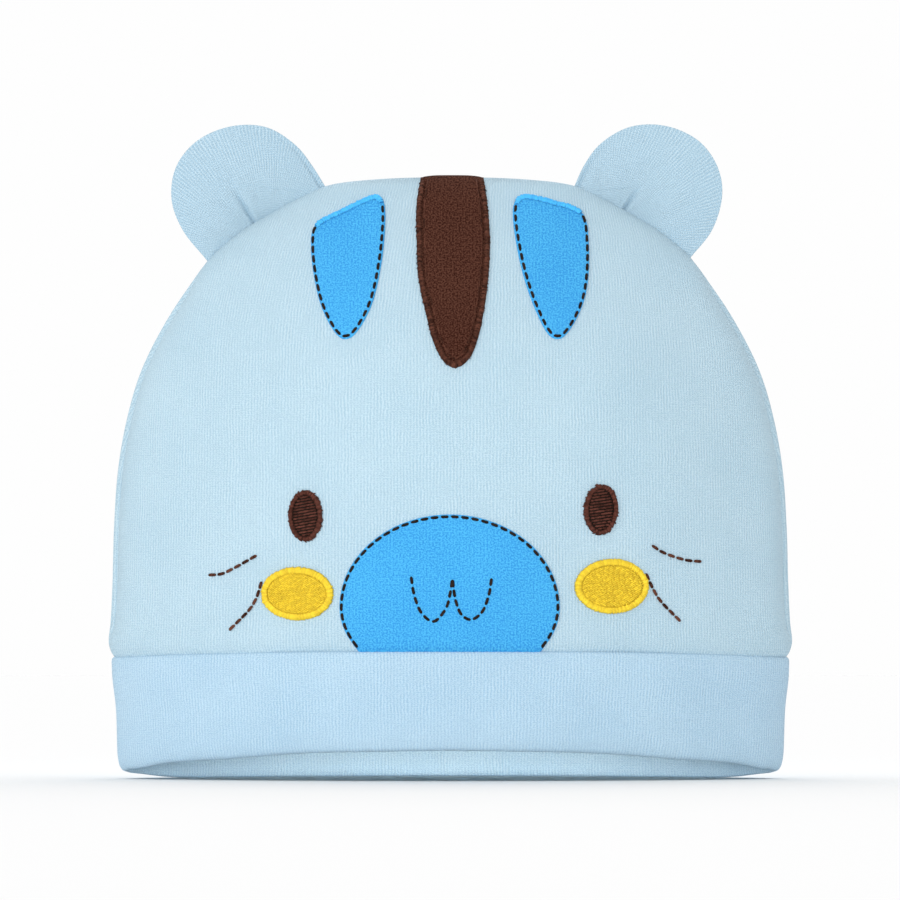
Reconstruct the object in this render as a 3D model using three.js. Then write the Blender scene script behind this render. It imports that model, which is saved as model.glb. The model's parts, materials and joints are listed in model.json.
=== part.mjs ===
// A baby's knitted cap with two padded round ears and a plain animal face.
// Millimetres, +Z up, +X to the right of the face, and the face looks along -Y.
// The origin is on the surface that the band rests on, under the middle of the cap.

import * as THREE from 'three';
import { mergeVertices } from 'three/addons/utils/BufferGeometryUtils.js';

// Driving dimensions

const gap = 0.3;                 // between neighbouring pieces
const jersey = 1.5;              // one layer of the crown's knit
const patchThickness = 1.0;      // an applique with its stitching
const edgeRoundness = 0.25;      // how blunt the section is at the side seams, 0 is sharp
const archHeight = 8.8;          // the front of the rim lifts this far in its middle
const archHalfWidth = 80;        // the rim is down again this far from the middle
const archPower = 3;
const archFade = 14;             // the lift dies away upwards over about this height
const leanBack = 6;              // the top seam stands this far behind the middle of the rim
const middleShift = 2.8;         // brings the middle of the leaning cap over the origin
const rowCrowding = 0.09;        // draws the crown's rows closer at its foot and top

// The crown: half its width from the front, and how far its two panels bulge.
const crownRows = [
  { height: 32.0, halfWidth: 87.6, front: 36.4, back: 36.4 },
  { height: 36.0, halfWidth: 88.9, front: 37.6, back: 37.7 },
  { height: 41.0, halfWidth: 88.2, front: 38.3, back: 38.7 },
  { height: 50.0, halfWidth: 87.7, front: 39.0, back: 39.7 },
  { height: 65.0, halfWidth: 87.3, front: 39.7, back: 40.8 },
  { height: 80.0, halfWidth: 86.3, front: 39.5, back: 41.0 },
  { height: 93.0, halfWidth: 84.1, front: 38.1, back: 39.8 },
  { height: 105.5, halfWidth: 80.5, front: 35.5, back: 37.2 },
  { height: 118.0, halfWidth: 74.4, front: 31.5, back: 33.0 },
  { height: 127.4, halfWidth: 68.4, front: 27.3, back: 28.4 },
  { height: 134.3, halfWidth: 63.2, front: 23.5, back: 24.2 },
  { height: 141.5, halfWidth: 54.9, front: 18.8, back: 19.2 },
  { height: 147.0, halfWidth: 46.0, front: 14.2, back: 14.4 },
  { height: 150.3, halfWidth: 40.0, front: 10.9, back: 11.0 },
  { height: 153.8, halfWidth: 32.0, front: 6.0, back: 6.0 },
  { height: 155.4, halfWidth: 20.0, front: 3.0, back: 3.0 },
];
const crownTop = 156;

// The band: the same half sizes, front and back alike.
const bandRows = [
  { height: 0.0, halfWidth: 85.9, halfDepth: 34.6 },
  { height: 6.0, halfWidth: 86.5, halfDepth: 35.1 },
  { height: 18.0, halfWidth: 87.0, halfDepth: 35.7 },
  { height: 27.0, halfWidth: 87.9, halfDepth: 36.4 },
  { height: 31.7, halfWidth: 87.5, halfDepth: 36.2 },
];

// The band's doubled cloth, cut across: how far inside the outer face, and how high.
const bandSection = [
  { inset: 0.0, height: 31.7 },
  { inset: 0.0, height: 27.0 },
  { inset: 0.0, height: 18.0 },
  { inset: 0.0, height: 9.0 },
  { inset: 0.0, height: 3.4 },
  { inset: 0.4, height: 1.1 },
  { inset: 0.9, height: 0.0 },
  { inset: 2.3, height: 0.0 },
  { inset: 2.8, height: 1.1 },
  { inset: 3.2, height: 3.4 },
  { inset: 3.2, height: 12.0 },
  { inset: 3.2, height: 22.0 },
  { inset: 3.2, height: 31.7 },
];

// The ears: the free outline of each, from its inner to its outer end on the crown's seam.
const earCentreThickness = 4.8;  // half the padded thickness
const earEdgeThickness = 0.9;    // half the two layers at the seam
const pleatShare = 0.8;          // how much of the front half's thickness the pleat takes away
const puffPower = 0.6;           // under 1, the padding is full close to the ear's edge
const ears = [
  {
    name: 'ear_left',
    pleatTop: { x: -55.5, z: 151.6 },
    pleatFoot: { x: -50.8, z: 144.6 },
    outline: [
      { x: -32.3, z: 153.7 },
      { x: -36.0, z: 159.6 },
      { x: -40.1, z: 164.7 },
      { x: -47.8, z: 169.2 },
      { x: -57.0, z: 169.5 },
      { x: -66.0, z: 165.9 },
      { x: -71.4, z: 159.2 },
      { x: -72.6, z: 150.5 },
      { x: -69.7, z: 142.4 },
      { x: -64.0, z: 135.3 },
    ],
  },
  {
    name: 'ear_right',
    pleatTop: { x: 49.5, z: 153.6 },
    pleatFoot: { x: 45.1, z: 148.1 },
    outline: [
      { x: 32.2, z: 154.1 },
      { x: 34.6, z: 159.3 },
      { x: 38.8, z: 165.0 },
      { x: 46.7, z: 169.6 },
      { x: 56.0, z: 169.9 },
      { x: 64.7, z: 165.7 },
      { x: 69.2, z: 159.3 },
      { x: 70.4, z: 152.0 },
      { x: 68.1, z: 142.7 },
      { x: 62.8, z: 135.6 },
    ],
  },
];

// The centre stripe: its two edges as seen from the front. Its top is the crown's top seam.
const stripeCentreRows = [
  { height: 105.5, left: 0.6, right: 1.5 },
  { height: 106.4, left: -1.0, right: 3.3 },
  { height: 108.4, left: -2.6, right: 5.2 },
  { height: 112.3, left: -4.4, right: 6.8 },
  { height: 119.2, left: -6.2, right: 8.4 },
  { height: 128.9, left: -8.2, right: 9.7 },
  { height: 139.1, left: -8.7, right: 10.2 },
  { height: 147.4, left: -8.8, right: 9.7 },
  { height: 156.0, left: -7.7, right: 8.6 },
];
const tipCrowding = 1.4;         // draws its rows closer together at its round tip
const seamCrowding = 1.8;        // and at the top seam

// The side stripes: corner points and curve points of each outline, seen from the front.
const sideStripes = [
  {
    name: 'stripe_left',
    centre: { x: -26.2, z: 134.0 },
    outline: [
      { x: -19.0, z: 151.5 },
      { x: -17.0, z: 146.3 },
      { x: -17.6, z: 133.7 },
      { x: -20.6, z: 120.8 },
      { x: -25.4, z: 113.5 },
      { x: -28.0, z: 113.3 },
      { x: -33.0, z: 121.2 },
      { x: -36.0, z: 138.5 },
      { x: -35.1, z: 144.0 },
      { x: -29.3, z: 147.9 },
    ],
  },
  {
    name: 'stripe_right',
    centre: { x: 26.5, z: 134.0 },
    outline: [
      { x: 18.6, z: 151.6 },
      { x: 26.4, z: 149.6 },
      { x: 34.3, z: 146.9 },
      { x: 35.8, z: 138.0 },
      { x: 34.2, z: 122.6 },
      { x: 28.5, z: 113.3 },
      { x: 25.9, z: 113.5 },
      { x: 21.6, z: 121.1 },
      { x: 17.5, z: 135.1 },
      { x: 16.8, z: 148.2 },
    ],
  },
];

// The oval patches and embroidered eyes, seen from the front. tilt is in degrees.
const ovals = [
  { name: 'cheek_left', x: -39.1, z: 47.6, halfWidth: 9.3, halfHeight: 6.9, tilt: -2 },
  { name: 'cheek_right', x: 41.2, z: 49.5, halfWidth: 9.5, halfHeight: 7.1, tilt: 2 },
  { name: 'eye_left', x: -37.0, z: 67.6, halfWidth: 4.45, halfHeight: 6.6, tilt: 0 },
  { name: 'eye_right', x: 38.4, z: 69.2, halfWidth: 4.45, halfHeight: 6.6, tilt: -3 },
];
const muzzle = { x: -0.2, z: 44.1, halfWidth: 28.1, above: 23.8, below: 20.3, cut: 32.3 };

// How finely each piece is divided

const frontDivisions = { up: 26, across: 28 };
const backDivisions = { up: 22, across: 24 };
const bandDivisions = 64;
const earDivisions = { around: 34, rings: 6, seam: 11 };
const centreStripeDivisions = { up: 18, across: 4 };
const sideStripeDivisions = { around: 28, rings: 4 };
const muzzleDivisions = { around: 36, rings: 4 };
const ovalDivisions = { around: 22, rings: 2 };

const colours = {
  jersey: 0xc5e0ee,
  band: 0xb9d7eb,
  ear: 0xbdd9e9,
  blue: 0x4fbcfb,
  brown: 0x623e31,
  darkBrown: 0x4e2f27,
  yellow: 0xf0ca36,
};

// Solids from grids of points

// The triangles of a grid of points, where point(i, j) gives the point of row i and column j.
function gridTriangles(rows, columns, point) {
  const triangles = [];
  for (let i = 0; i < rows; i += 1) {
    for (let j = 0; j < columns; j += 1) {
      const a = point(i, j);
      const b = point(i, j + 1);
      const c = point(i + 1, j + 1);
      const d = point(i + 1, j);
      triangles.push([a, b, c], [a, c, d]);
    }
  }
  return triangles;
}

// A cloth sheet with an outer and an inner face. Grids that close on themselves have no side edges.
function sheetTriangles(rows, columns, outer, inner, edges) {
  const triangles = gridTriangles(rows, columns, outer);
  triangles.push(...gridTriangles(rows, columns, (i, j) => inner(i, columns - j)));
  const faces = [outer, inner];
  if (edges.first) {
    triangles.push(...gridTriangles(1, columns, (k, j) => faces[1 - k](0, j)));
  }
  if (edges.last) {
    triangles.push(...gridTriangles(1, columns, (k, j) => faces[k](rows, j)));
  }
  if (edges.sides) {
    triangles.push(...gridTriangles(rows, 1, (i, k) => faces[1 - k](i, 0)));
    triangles.push(...gridTriangles(rows, 1, (i, k) => faces[k](i, columns)));
  }
  return triangles;
}

function signedVolume(triangles) {
  let six = 0;
  for (const [a, b, c] of triangles) {
    six += a.dot(new THREE.Vector3().crossVectors(b, c));
  }
  return six / 6;
}

// One closed mesh with its faces outwards, without the collapsed triangles at poles.
function solidMesh(name, triangles, colour, roughness) {
  const smallestArea = 1e-6;
  const kept = triangles.filter(
    ([a, b, c]) => new THREE.Triangle(a, b, c).getArea() > smallestArea,
  );
  const outward = signedVolume(kept) > 0;
  const positions = [];
  for (const [a, b, c] of kept) {
    const corners = outward ? [a, b, c] : [a, c, b];
    corners.forEach((corner) => positions.push(corner.x, corner.y, corner.z));
  }
  const loose = new THREE.BufferGeometry();
  loose.setAttribute('position', new THREE.Float32BufferAttribute(positions, 3));
  const geometry = mergeVertices(loose, 1e-4);
  geometry.computeVertexNormals();
  const material = new THREE.MeshStandardMaterial({ color: colour, roughness, metalness: 0 });
  const mesh = new THREE.Mesh(geometry, material);
  mesh.name = name;
  return mesh;
}

// The crown's form

// One level section of the cap, a lens with blunt ends: turn 0 is the middle of the face,
// a quarter turn is the right side seam and a half turn is the middle of the back.
function sectionBulge(cosine) {
  const blunt = edgeRoundness ** 2;
  return cosine * ((cosine ** 2 + blunt) / (1 + blunt)) ** 0.25;
}

function sizeCurve(rows, depthColumn, top) {
  const right = rows.map((row) => new THREE.Vector3(row.halfWidth, row[depthColumn], row.height));
  if (top === undefined) {
    return new THREE.CatmullRomCurve3(right, false, 'centripetal');
  }
  const left = right.map((size) => new THREE.Vector3(-size.x, -size.y, size.z)).reverse();
  const points = [...right, new THREE.Vector3(0, 0, top), ...left];
  const curve = new THREE.CatmullRomCurve3(points, false, 'centripetal');
  curve.arcLengthDivisions = 1200;
  return curve;
}

const frontCurve = sizeCurve(crownRows, 'front', crownTop);
const backCurve = sizeCurve(crownRows, 'back', crownTop);
const bandCurve = sizeCurve(bandRows, 'halfDepth');

// How far along the curve, from 0 to last, a height is reached.
function alongAtHeight(curve, height, last) {
  let low = 0;
  let high = last;
  for (let step = 0; step < 40; step += 1) {
    const middle = (low + high) / 2;
    if (curve.getPointAt(middle).z < height) {
      low = middle;
    } else {
      high = middle;
    }
  }
  return (low + high) / 2;
}

// How the cap stands: the front of its rim is lifted in an arch that fades out upwards,
// and it leans back a little, so that its weight is well inside the part of the rim that rests.
function stand(point) {
  const share = Math.min(1, Math.abs(point.x) / archHalfWidth);
  const arch = archHeight * (1 - share ** archPower);
  point.z += point.y < 0 ? arch * Math.exp(-point.z / archFade) : 0;
  point.y += (leanBack * point.z) / crownTop - middleShift;
  return point;
}

// A point of a crown panel's outer face, before the cap stands.
// side is -1 for the front panel and 1 for the back one.
function panelPoint(curve, side, along, turn) {
  const size = curve.getPointAt(along);
  const y = side * (gap / 2 + size.y * sectionBulge(Math.cos(turn)));
  return new THREE.Vector3(size.x * Math.sin(turn), y, size.z);
}

function panelNormal(curve, side, along, turn) {
  const small = 1e-3;
  const at = Math.min(Math.max(along, small), 0.5 - small);
  const upward = panelPoint(curve, side, at + small, turn);
  upward.sub(panelPoint(curve, side, at - small, turn));
  const sideward = panelPoint(curve, side, at, turn + small);
  sideward.sub(panelPoint(curve, side, at, turn - small));
  return sideward.cross(upward).multiplyScalar(-side).normalize();
}

// The inner face: each row is the outer row made smaller by the thickness of the cloth.
function innerPanelPoint(curve, side, along, turn) {
  const size = curve.getPointAt(along);
  const tangent = curve.getTangentAt(along);
  const outline = new THREE.Vector2(tangent.z, -tangent.x).normalize();
  const profile = new THREE.Vector2(tangent.z, -tangent.y).normalize();
  const halfWidth = size.x - jersey * outline.x;
  const halfDepth = Math.max(0, size.y - jersey * profile.x);
  const drop = outline.y * Math.sin(turn) ** 2 + profile.y * Math.cos(turn) ** 2;
  const y = side * (gap / 2 + halfDepth * sectionBulge(Math.cos(turn)));
  return new THREE.Vector3(halfWidth * Math.sin(turn), y, size.z - jersey * drop);
}

function crownPanel(name, curve, side, divisions) {
  const { up, across } = divisions;
  const turnAt = (j) => (j / across - 0.5) * Math.PI;
  const alongAt = (i) => 0.5 * (i / up - rowCrowding * Math.sin((2 * Math.PI * i) / up));
  const outer = (i, j) => stand(panelPoint(curve, side, alongAt(i), turnAt(j)));
  const inner = (i, j) => stand(innerPanelPoint(curve, side, alongAt(i), turnAt(j)));
  const edges = { first: true, last: false, sides: true };
  return solidMesh(name, sheetTriangles(up, across, outer, inner, edges), colours.jersey, 0.95);
}

// The band

function bandPoint(row, turn) {
  const size = bandCurve.getPointAt(alongAtHeight(bandCurve, row.height, 1));
  const small = 1e-3;
  const at = (angle) => new THREE.Vector2(
    size.x * Math.sin(angle),
    -size.y * sectionBulge(Math.cos(angle)),
  );
  const tangent = at(turn + small).sub(at(turn - small)).normalize();
  const point = at(turn);
  point.x -= row.inset * tangent.y;
  point.y += row.inset * tangent.x;
  return stand(new THREE.Vector3(point.x, point.y, row.height));
}

function bandMesh() {
  const rows = bandSection.length;
  const point = (i, j) => {
    const turn = ((j % bandDivisions) / bandDivisions) * 2 * Math.PI;
    return bandPoint(bandSection[i % rows], turn);
  };
  return solidMesh('band', gridTriangles(rows, bandDivisions, point), colours.band, 0.95);
}

// The ears

// The stretch of the crown's seam that an ear stands on, from the ear's outer to its inner end.
function seamPoints(ear, count) {
  const first = ear.outline[ear.outline.length - 1];
  const last = ear.outline[0];
  const start = alongAtHeight(frontCurve, first.z, 0.5);
  const end = alongAtHeight(frontCurve, last.z, 0.5);
  const points = [];
  for (let k = 1; k < count; k += 1) {
    const along = start + ((end - start) * k) / count;
    const size = frontCurve.getPointAt(along);
    const tangent = frontCurve.getTangentAt(along);
    const outward = new THREE.Vector2(tangent.z, -tangent.x).normalize();
    const x = size.x + gap * outward.x;
    points.push(new THREE.Vector2(Math.sign(first.x) * x, size.z + gap * outward.y));
  }
  return points;
}

// The boundary point that the pleat runs down to.
function footIndex(ear, boundary) {
  const foot = new THREE.Vector2(ear.pleatFoot.x, ear.pleatFoot.z);
  const distances = boundary.map((point) => point.distanceTo(foot));
  return distances.indexOf(Math.min(...distances));
}

// The ear is divided in rings round the top of its pleat, which runs down one spoke to the seam.
function earMesh(ear) {
  const { around, rings, seam } = earDivisions;
  const free = new THREE.SplineCurve(ear.outline.map(({ x, z }) => new THREE.Vector2(x, z)));
  const boundary = [...free.getSpacedPoints(around - seam), ...seamPoints(ear, seam)];
  const pleatSpoke = footIndex(ear, boundary);
  const face = (side) => (i, j) => {
    const share = 1 - i / rings;
    const edge = boundary[j % around];
    const x = ear.pleatTop.x + (edge.x - ear.pleatTop.x) * share;
    const z = ear.pleatTop.z + (edge.y - ear.pleatTop.z) * share;
    const puff = (1 - share ** 2) ** puffPower;
    const thickness = earEdgeThickness + (earCentreThickness - earEdgeThickness) * puff;
    const pleated = side < 0 && j % around === pleatSpoke ? 1 - pleatShare * share : 1;
    return stand(new THREE.Vector3(x, side * thickness * pleated, z));
  };
  const edges = { first: true, last: false, sides: false };
  const triangles = sheetTriangles(rings, around, face(-1), face(1), edges);
  return solidMesh(ear.name, triangles, colours.ear, 0.95);
}

// The face: patches that lie on the front panel

// The point of the front panel that is seen at x and z, moved out of the cloth by offset.
function onFront(x, z, offset) {
  const along = alongAtHeight(frontCurve, z, 0.5);
  const halfWidth = Math.max(1e-6, frontCurve.getPointAt(along).x);
  const turn = Math.asin(THREE.MathUtils.clamp(x / halfWidth, -1, 1));
  const point = panelPoint(frontCurve, -1, along, turn);
  return stand(point.addScaledVector(panelNormal(frontCurve, -1, along, turn), offset));
}

// A patch given by its outline seen from the front, divided in rings round a centre.
function ringPatch(name, outline, centre, rings, colour) {
  const around = outline.length;
  const face = (offset) => (i, j) => {
    const share = 1 - i / rings;
    const edge = outline[j % around];
    const x = centre.x + (edge.x - centre.x) * share;
    const z = centre.z + (edge.y - centre.z) * share;
    return onFront(x, z, offset);
  };
  const edges = { first: true, last: false, sides: false };
  const outer = face(gap + patchThickness);
  return solidMesh(name, sheetTriangles(rings, around, outer, face(gap), edges), colour, 0.9);
}

function sideStripe(stripe) {
  const { around, rings } = sideStripeDivisions;
  const points = stripe.outline.map(({ x, z }) => new THREE.Vector3(x, z, 0));
  const curve = new THREE.CatmullRomCurve3(points, true, 'centripetal');
  const outline = curve.getSpacedPoints(around).slice(0, around);
  return ringPatch(stripe.name, outline, stripe.centre, rings, colours.blue);
}

function muzzlePatch() {
  const { around, rings } = muzzleDivisions;
  const outline = [];
  for (let k = 0; k < around; k += 1) {
    const angle = (k / around) * 2 * Math.PI;
    const rise = Math.sin(angle);
    const z = muzzle.z + rise * (rise > 0 ? muzzle.above : muzzle.below);
    const x = muzzle.x + muzzle.halfWidth * Math.cos(angle);
    const below = Math.max(0, muzzle.cut - z);
    const pull = (muzzle.z - muzzle.cut) / (muzzle.z - muzzle.cut + below);
    outline.push(new THREE.Vector2(muzzle.x + (x - muzzle.x) * pull, z + below));
  }
  return ringPatch('muzzle', outline, muzzle, rings, colours.blue);
}

function ovalPatch(oval, colour) {
  const { around, rings } = ovalDivisions;
  const outline = [];
  for (let k = 0; k < around; k += 1) {
    const angle = (k / around) * 2 * Math.PI;
    const corner = new THREE.Vector2(
      oval.halfWidth * Math.cos(angle),
      oval.halfHeight * Math.sin(angle),
    );
    corner.rotateAround(new THREE.Vector2(), THREE.MathUtils.degToRad(oval.tilt));
    outline.push(corner.add(new THREE.Vector2(oval.x, oval.z)));
  }
  return ringPatch(oval.name, outline, oval, rings, colour);
}

// The height of the crown's top seam over a distance from the middle.
function topSeamHeight(x) {
  let low = 0;
  let high = 0.5;
  for (let step = 0; step < 40; step += 1) {
    const middle = (low + high) / 2;
    if (frontCurve.getPointAt(middle).x > Math.abs(x)) {
      low = middle;
    } else {
      high = middle;
    }
  }
  return frontCurve.getPointAt(low).z;
}

function centreStripe() {
  const { up, across } = centreStripeDivisions;
  const bottom = stripeCentreRows[0].height;
  const edgeCurve = (column) => new THREE.CatmullRomCurve3(
    stripeCentreRows.map((row) => new THREE.Vector3(row[column], 0, row.height)),
    false,
    'centripetal',
  );
  const curves = { left: edgeCurve('left'), right: edgeCurve('right') };
  const edgeAt = (column, height) => {
    const along = alongAtHeight(curves[column], height, 1);
    return curves[column].getPointAt(along).x;
  };
  const face = (offset) => (i, j) => {
    const share = 1 - (1 - (i / up) ** tipCrowding) ** seamCrowding;
    const height = bottom + (crownTop - bottom) * share;
    const left = edgeAt('left', height);
    const right = edgeAt('right', height);
    const x = left + ((right - left) * j) / across;
    const z = bottom + (topSeamHeight(x) - bottom) * share;
    return onFront(x, z, offset);
  };
  const edges = { first: true, last: true, sides: true };
  const outer = face(gap + patchThickness);
  const triangles = sheetTriangles(up, across, outer, face(gap), edges);
  return solidMesh('stripe_centre', triangles, colours.brown, 0.9);
}

// The cap

const cap = new THREE.Group();
cap.name = 'animal_ear_cap';
cap.add(crownPanel('crown_front', frontCurve, -1, frontDivisions));
cap.add(crownPanel('crown_back', backCurve, 1, backDivisions));
cap.add(bandMesh());
ears.forEach((ear) => cap.add(earMesh(ear)));
cap.add(centreStripe());
sideStripes.forEach((stripe) => cap.add(sideStripe(stripe)));
cap.add(muzzlePatch());
ovals.forEach((oval) => {
  const colour = oval.name.startsWith('cheek') ? colours.yellow : colours.darkBrown;
  cap.add(ovalPatch(oval, colour));
});

export default cap;
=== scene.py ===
# %% [markdown]
# # A baby's cap with two ears
# The real cap is cotton jersey: two crown panels sewn together along the outline, a band folded
# double, two padded ears caught in the top seam, and a plain animal face of sewn patches and
# embroidery. A CAD model of the same cap gives the frame, and every piece here takes its place
# in that frame. Lengths in this script are in millimetres, and a mesh is scaled to metres once,
# when it is finished.

# %% The frame
import json
import math

import bmesh
import bpy
import numpy as np
from mathutils import Matrix, Vector
from mathutils.kdtree import KDTree

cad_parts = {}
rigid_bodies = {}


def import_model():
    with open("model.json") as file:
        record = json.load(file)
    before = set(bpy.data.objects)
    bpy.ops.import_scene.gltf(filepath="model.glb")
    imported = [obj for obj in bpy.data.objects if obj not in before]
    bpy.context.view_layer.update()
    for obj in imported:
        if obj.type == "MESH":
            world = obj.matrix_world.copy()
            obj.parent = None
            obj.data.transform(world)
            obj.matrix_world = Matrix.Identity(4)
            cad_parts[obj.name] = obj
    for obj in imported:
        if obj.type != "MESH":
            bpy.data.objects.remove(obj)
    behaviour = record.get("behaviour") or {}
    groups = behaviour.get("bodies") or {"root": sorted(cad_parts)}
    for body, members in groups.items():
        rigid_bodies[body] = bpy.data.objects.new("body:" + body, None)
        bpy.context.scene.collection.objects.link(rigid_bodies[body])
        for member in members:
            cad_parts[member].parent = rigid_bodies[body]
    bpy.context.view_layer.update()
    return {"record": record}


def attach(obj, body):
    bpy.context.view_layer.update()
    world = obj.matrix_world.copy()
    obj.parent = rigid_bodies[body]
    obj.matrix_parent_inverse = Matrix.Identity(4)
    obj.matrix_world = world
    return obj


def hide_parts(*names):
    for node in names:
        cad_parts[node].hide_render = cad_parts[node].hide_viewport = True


MM = 0.001

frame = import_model()

# %% [markdown]
# ## Camera and floor
# The cap was photographed from straight in front and from far away, a little above the table.
# A long lens from two metres keeps its outline free of perspective. The lens follows from the
# width that the frame takes in at the cap, so the picture's scale is right by construction.

# %% The camera
PIXEL = 0.26             # of the cap's middle plane in one pixel of the square frame
FRAME_PIXELS = 900
SENSOR = 36
CAMERA_DISTANCE = 2000
CAMERA_HEIGHT = 40
FRAME_CENTRE = (-0.1, 85.3)


def add_object(name, data):
    """An object with this data, in the scene."""
    made = bpy.data.objects.new(name, data)
    bpy.context.scene.collection.objects.link(made)
    return made


camera_data = bpy.data.cameras.new("camera")
camera_data.sensor_width = SENSOR
camera_data.lens = SENSOR * CAMERA_DISTANCE / (PIXEL * FRAME_PIXELS)
camera = add_object("camera", camera_data)
camera.location = Vector((FRAME_CENTRE[0], -CAMERA_DISTANCE, CAMERA_HEIGHT)) * MM
aim = Vector((FRAME_CENTRE[0], 0, FRAME_CENTRE[1])) * MM
camera.rotation_euler = (aim - camera.location).to_track_quat("-Z", "Y").to_euler()
bpy.context.scene.camera = camera
print("lens", round(camera_data.lens, 1), "mm")

# %% [markdown]
# ## A small language for shaders
# A knit is mostly arithmetic on the cloth's own coordinates. Wrapping a socket in a class with
# operators lets that arithmetic be written as an expression, and each operator adds its Math
# node. Every other node comes from one method.

# %% Sockets that can be added and multiplied
class Value:
    """A number in a shader. Its operators add Math nodes."""

    def __init__(self, finish, socket):
        self.finish = finish
        self.socket = socket

    def math(self, operation, other=0.0, swap=False):
        first, second = (other, self) if swap else (self, other)
        settings = {"operation": operation}
        return self.finish.value("ShaderNodeMath", settings, {0: first, 1: second})

    def __add__(self, other):
        return self.math("ADD", other)

    def __sub__(self, other):
        return self.math("SUBTRACT", other)

    def __rsub__(self, other):
        return self.math("SUBTRACT", other, swap=True)

    def __mul__(self, other):
        return self.math("MULTIPLY", other)

    def __truediv__(self, other):
        return self.math("DIVIDE", other)

    __radd__ = __add__
    __rmul__ = __mul__

    def cosine(self):
        """The cosine of this many full turns."""
        return (self * math.tau).math("COSINE")

    def unit(self):
        """The same number, held between 0 and 1."""
        return self.math("MAXIMUM", 0.0).math("MINIMUM", 1.0)


# %% [markdown]
# ## One class for every finish
# A material is a tree of nodes round one shader. The class makes any node by one method, which
# sets its settings first and then its sockets. All finishes here read the cloth's own map and end
# in the same three sockets: colour, roughness, and a bump that feeds the normal.

# %% A finish
CLOTH_MAP = "cloth"


class Finish:
    """A material made of nodes."""

    def __init__(self, name):
        self.material = bpy.data.materials.new(name)
        self.material.use_nodes = True
        self.tree = self.material.node_tree
        self.shader = self.tree.nodes["Principled BSDF"]

    def node(self, kind, settings=None, inputs=None):
        """A node of this kind: its settings are set first, then its sockets' values or links."""
        made = self.tree.nodes.new(kind)
        for name, value in (settings or {}).items():
            setattr(made, name, value)
        for name, value in (inputs or {}).items():
            self.feed(made.inputs[name], value)
        return made

    def feed(self, socket, value):
        if isinstance(value, Value):
            value = value.socket
        if isinstance(value, bpy.types.NodeSocket):
            self.tree.links.new(value, socket)
        else:
            socket.default_value = value

    def value(self, kind, settings=None, inputs=None):
        """The first output of such a node, as a number."""
        return Value(self, self.node(kind, settings, inputs).outputs[0])

    def cloth_map(self):
        """The cloth's own map, and its two coordinates in millimetres."""
        cloth = self.node("ShaderNodeUVMap", {"uv_map": CLOTH_MAP}).outputs[0]
        split = self.node("ShaderNodeSeparateXYZ", None, {0: cloth})
        return cloth, Value(self, split.outputs[0]), Value(self, split.outputs[1])

    def noise(self, vector, scale, detail=2.0):
        """Cloudy noise about zero, from -0.5 to 0.5. Scale is in clouds per unit of the vector."""
        inputs = {"Vector": vector, "Scale": scale, "Detail": detail}
        return self.value("ShaderNodeTexNoise", None, inputs) - 0.5

    def mix(self, factor, first, second):
        settings = {"data_type": "RGBA"}
        inputs = {"Factor": factor, 6: (*first, 1), 7: (*second, 1)}
        return self.node("ShaderNodeMix", settings, inputs).outputs[2]

    def surface(self, colour, roughness, height, depth):
        """Feeds the shader. Height is in units of depth, which is in millimetres."""
        inputs = {"Height": height, "Distance": depth * MM, "Strength": 1.0}
        bump = self.node("ShaderNodeBump", None, inputs)
        self.feed(self.shader.inputs["Base Color"], colour)
        self.feed(self.shader.inputs["Roughness"], roughness)
        self.feed(self.shader.inputs["Normal"], bump.outputs[0])
        return self.material


# %% [markdown]
# ## The jersey's finish
# Jersey shows columns of small V stitches, called wales. From a metre away they are soft ribs that
# show more in one place and less in another, with a fine fuzz between them. The pattern reads a UV
# map that is measured in millimetres on the cloth, so the wales follow each panel and crowd
# together where the panel turns away. Shade is painted into the colour of the hollows between the
# wales, stronger in hue than in grey, and a painted highlight onto their crests.

# %% Knitted cloth
WALE, COURSE = 0.85, 0.6                 # one stitch across and up
WANDERS = [(0.11, 1.1), (0.8, 0.55)]     # noise in 1/mm, and how far it shifts a wale
COURSE_NOISE, COURSE_SHIFT = 0.4, 1.5    # noise in 1/mm, and the turns it adds to the courses
LEG_SLANT, STITCH_SHARE = 1.2, 0.8
PATCHY_NOISE, PATCHY_RIBS, PATCHY_STITCHES = 0.2, 3.6, 1.5
CLOUD_NOISE, CLOUD_LIGHT = 0.05, 0.6
EVEN_SHADE, HUE_SHADE = 0.35, 1.6


def painted_light(colour, amount):
    """Painted shade, as where light bounces between fibres: each channel falls by how much it
    absorbs. A negative amount gives a painted highlight.
    """
    return [c * (1 - amount * (EVEN_SHADE + HUE_SHADE * (max(colour) - c))) for c in colour]


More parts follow.
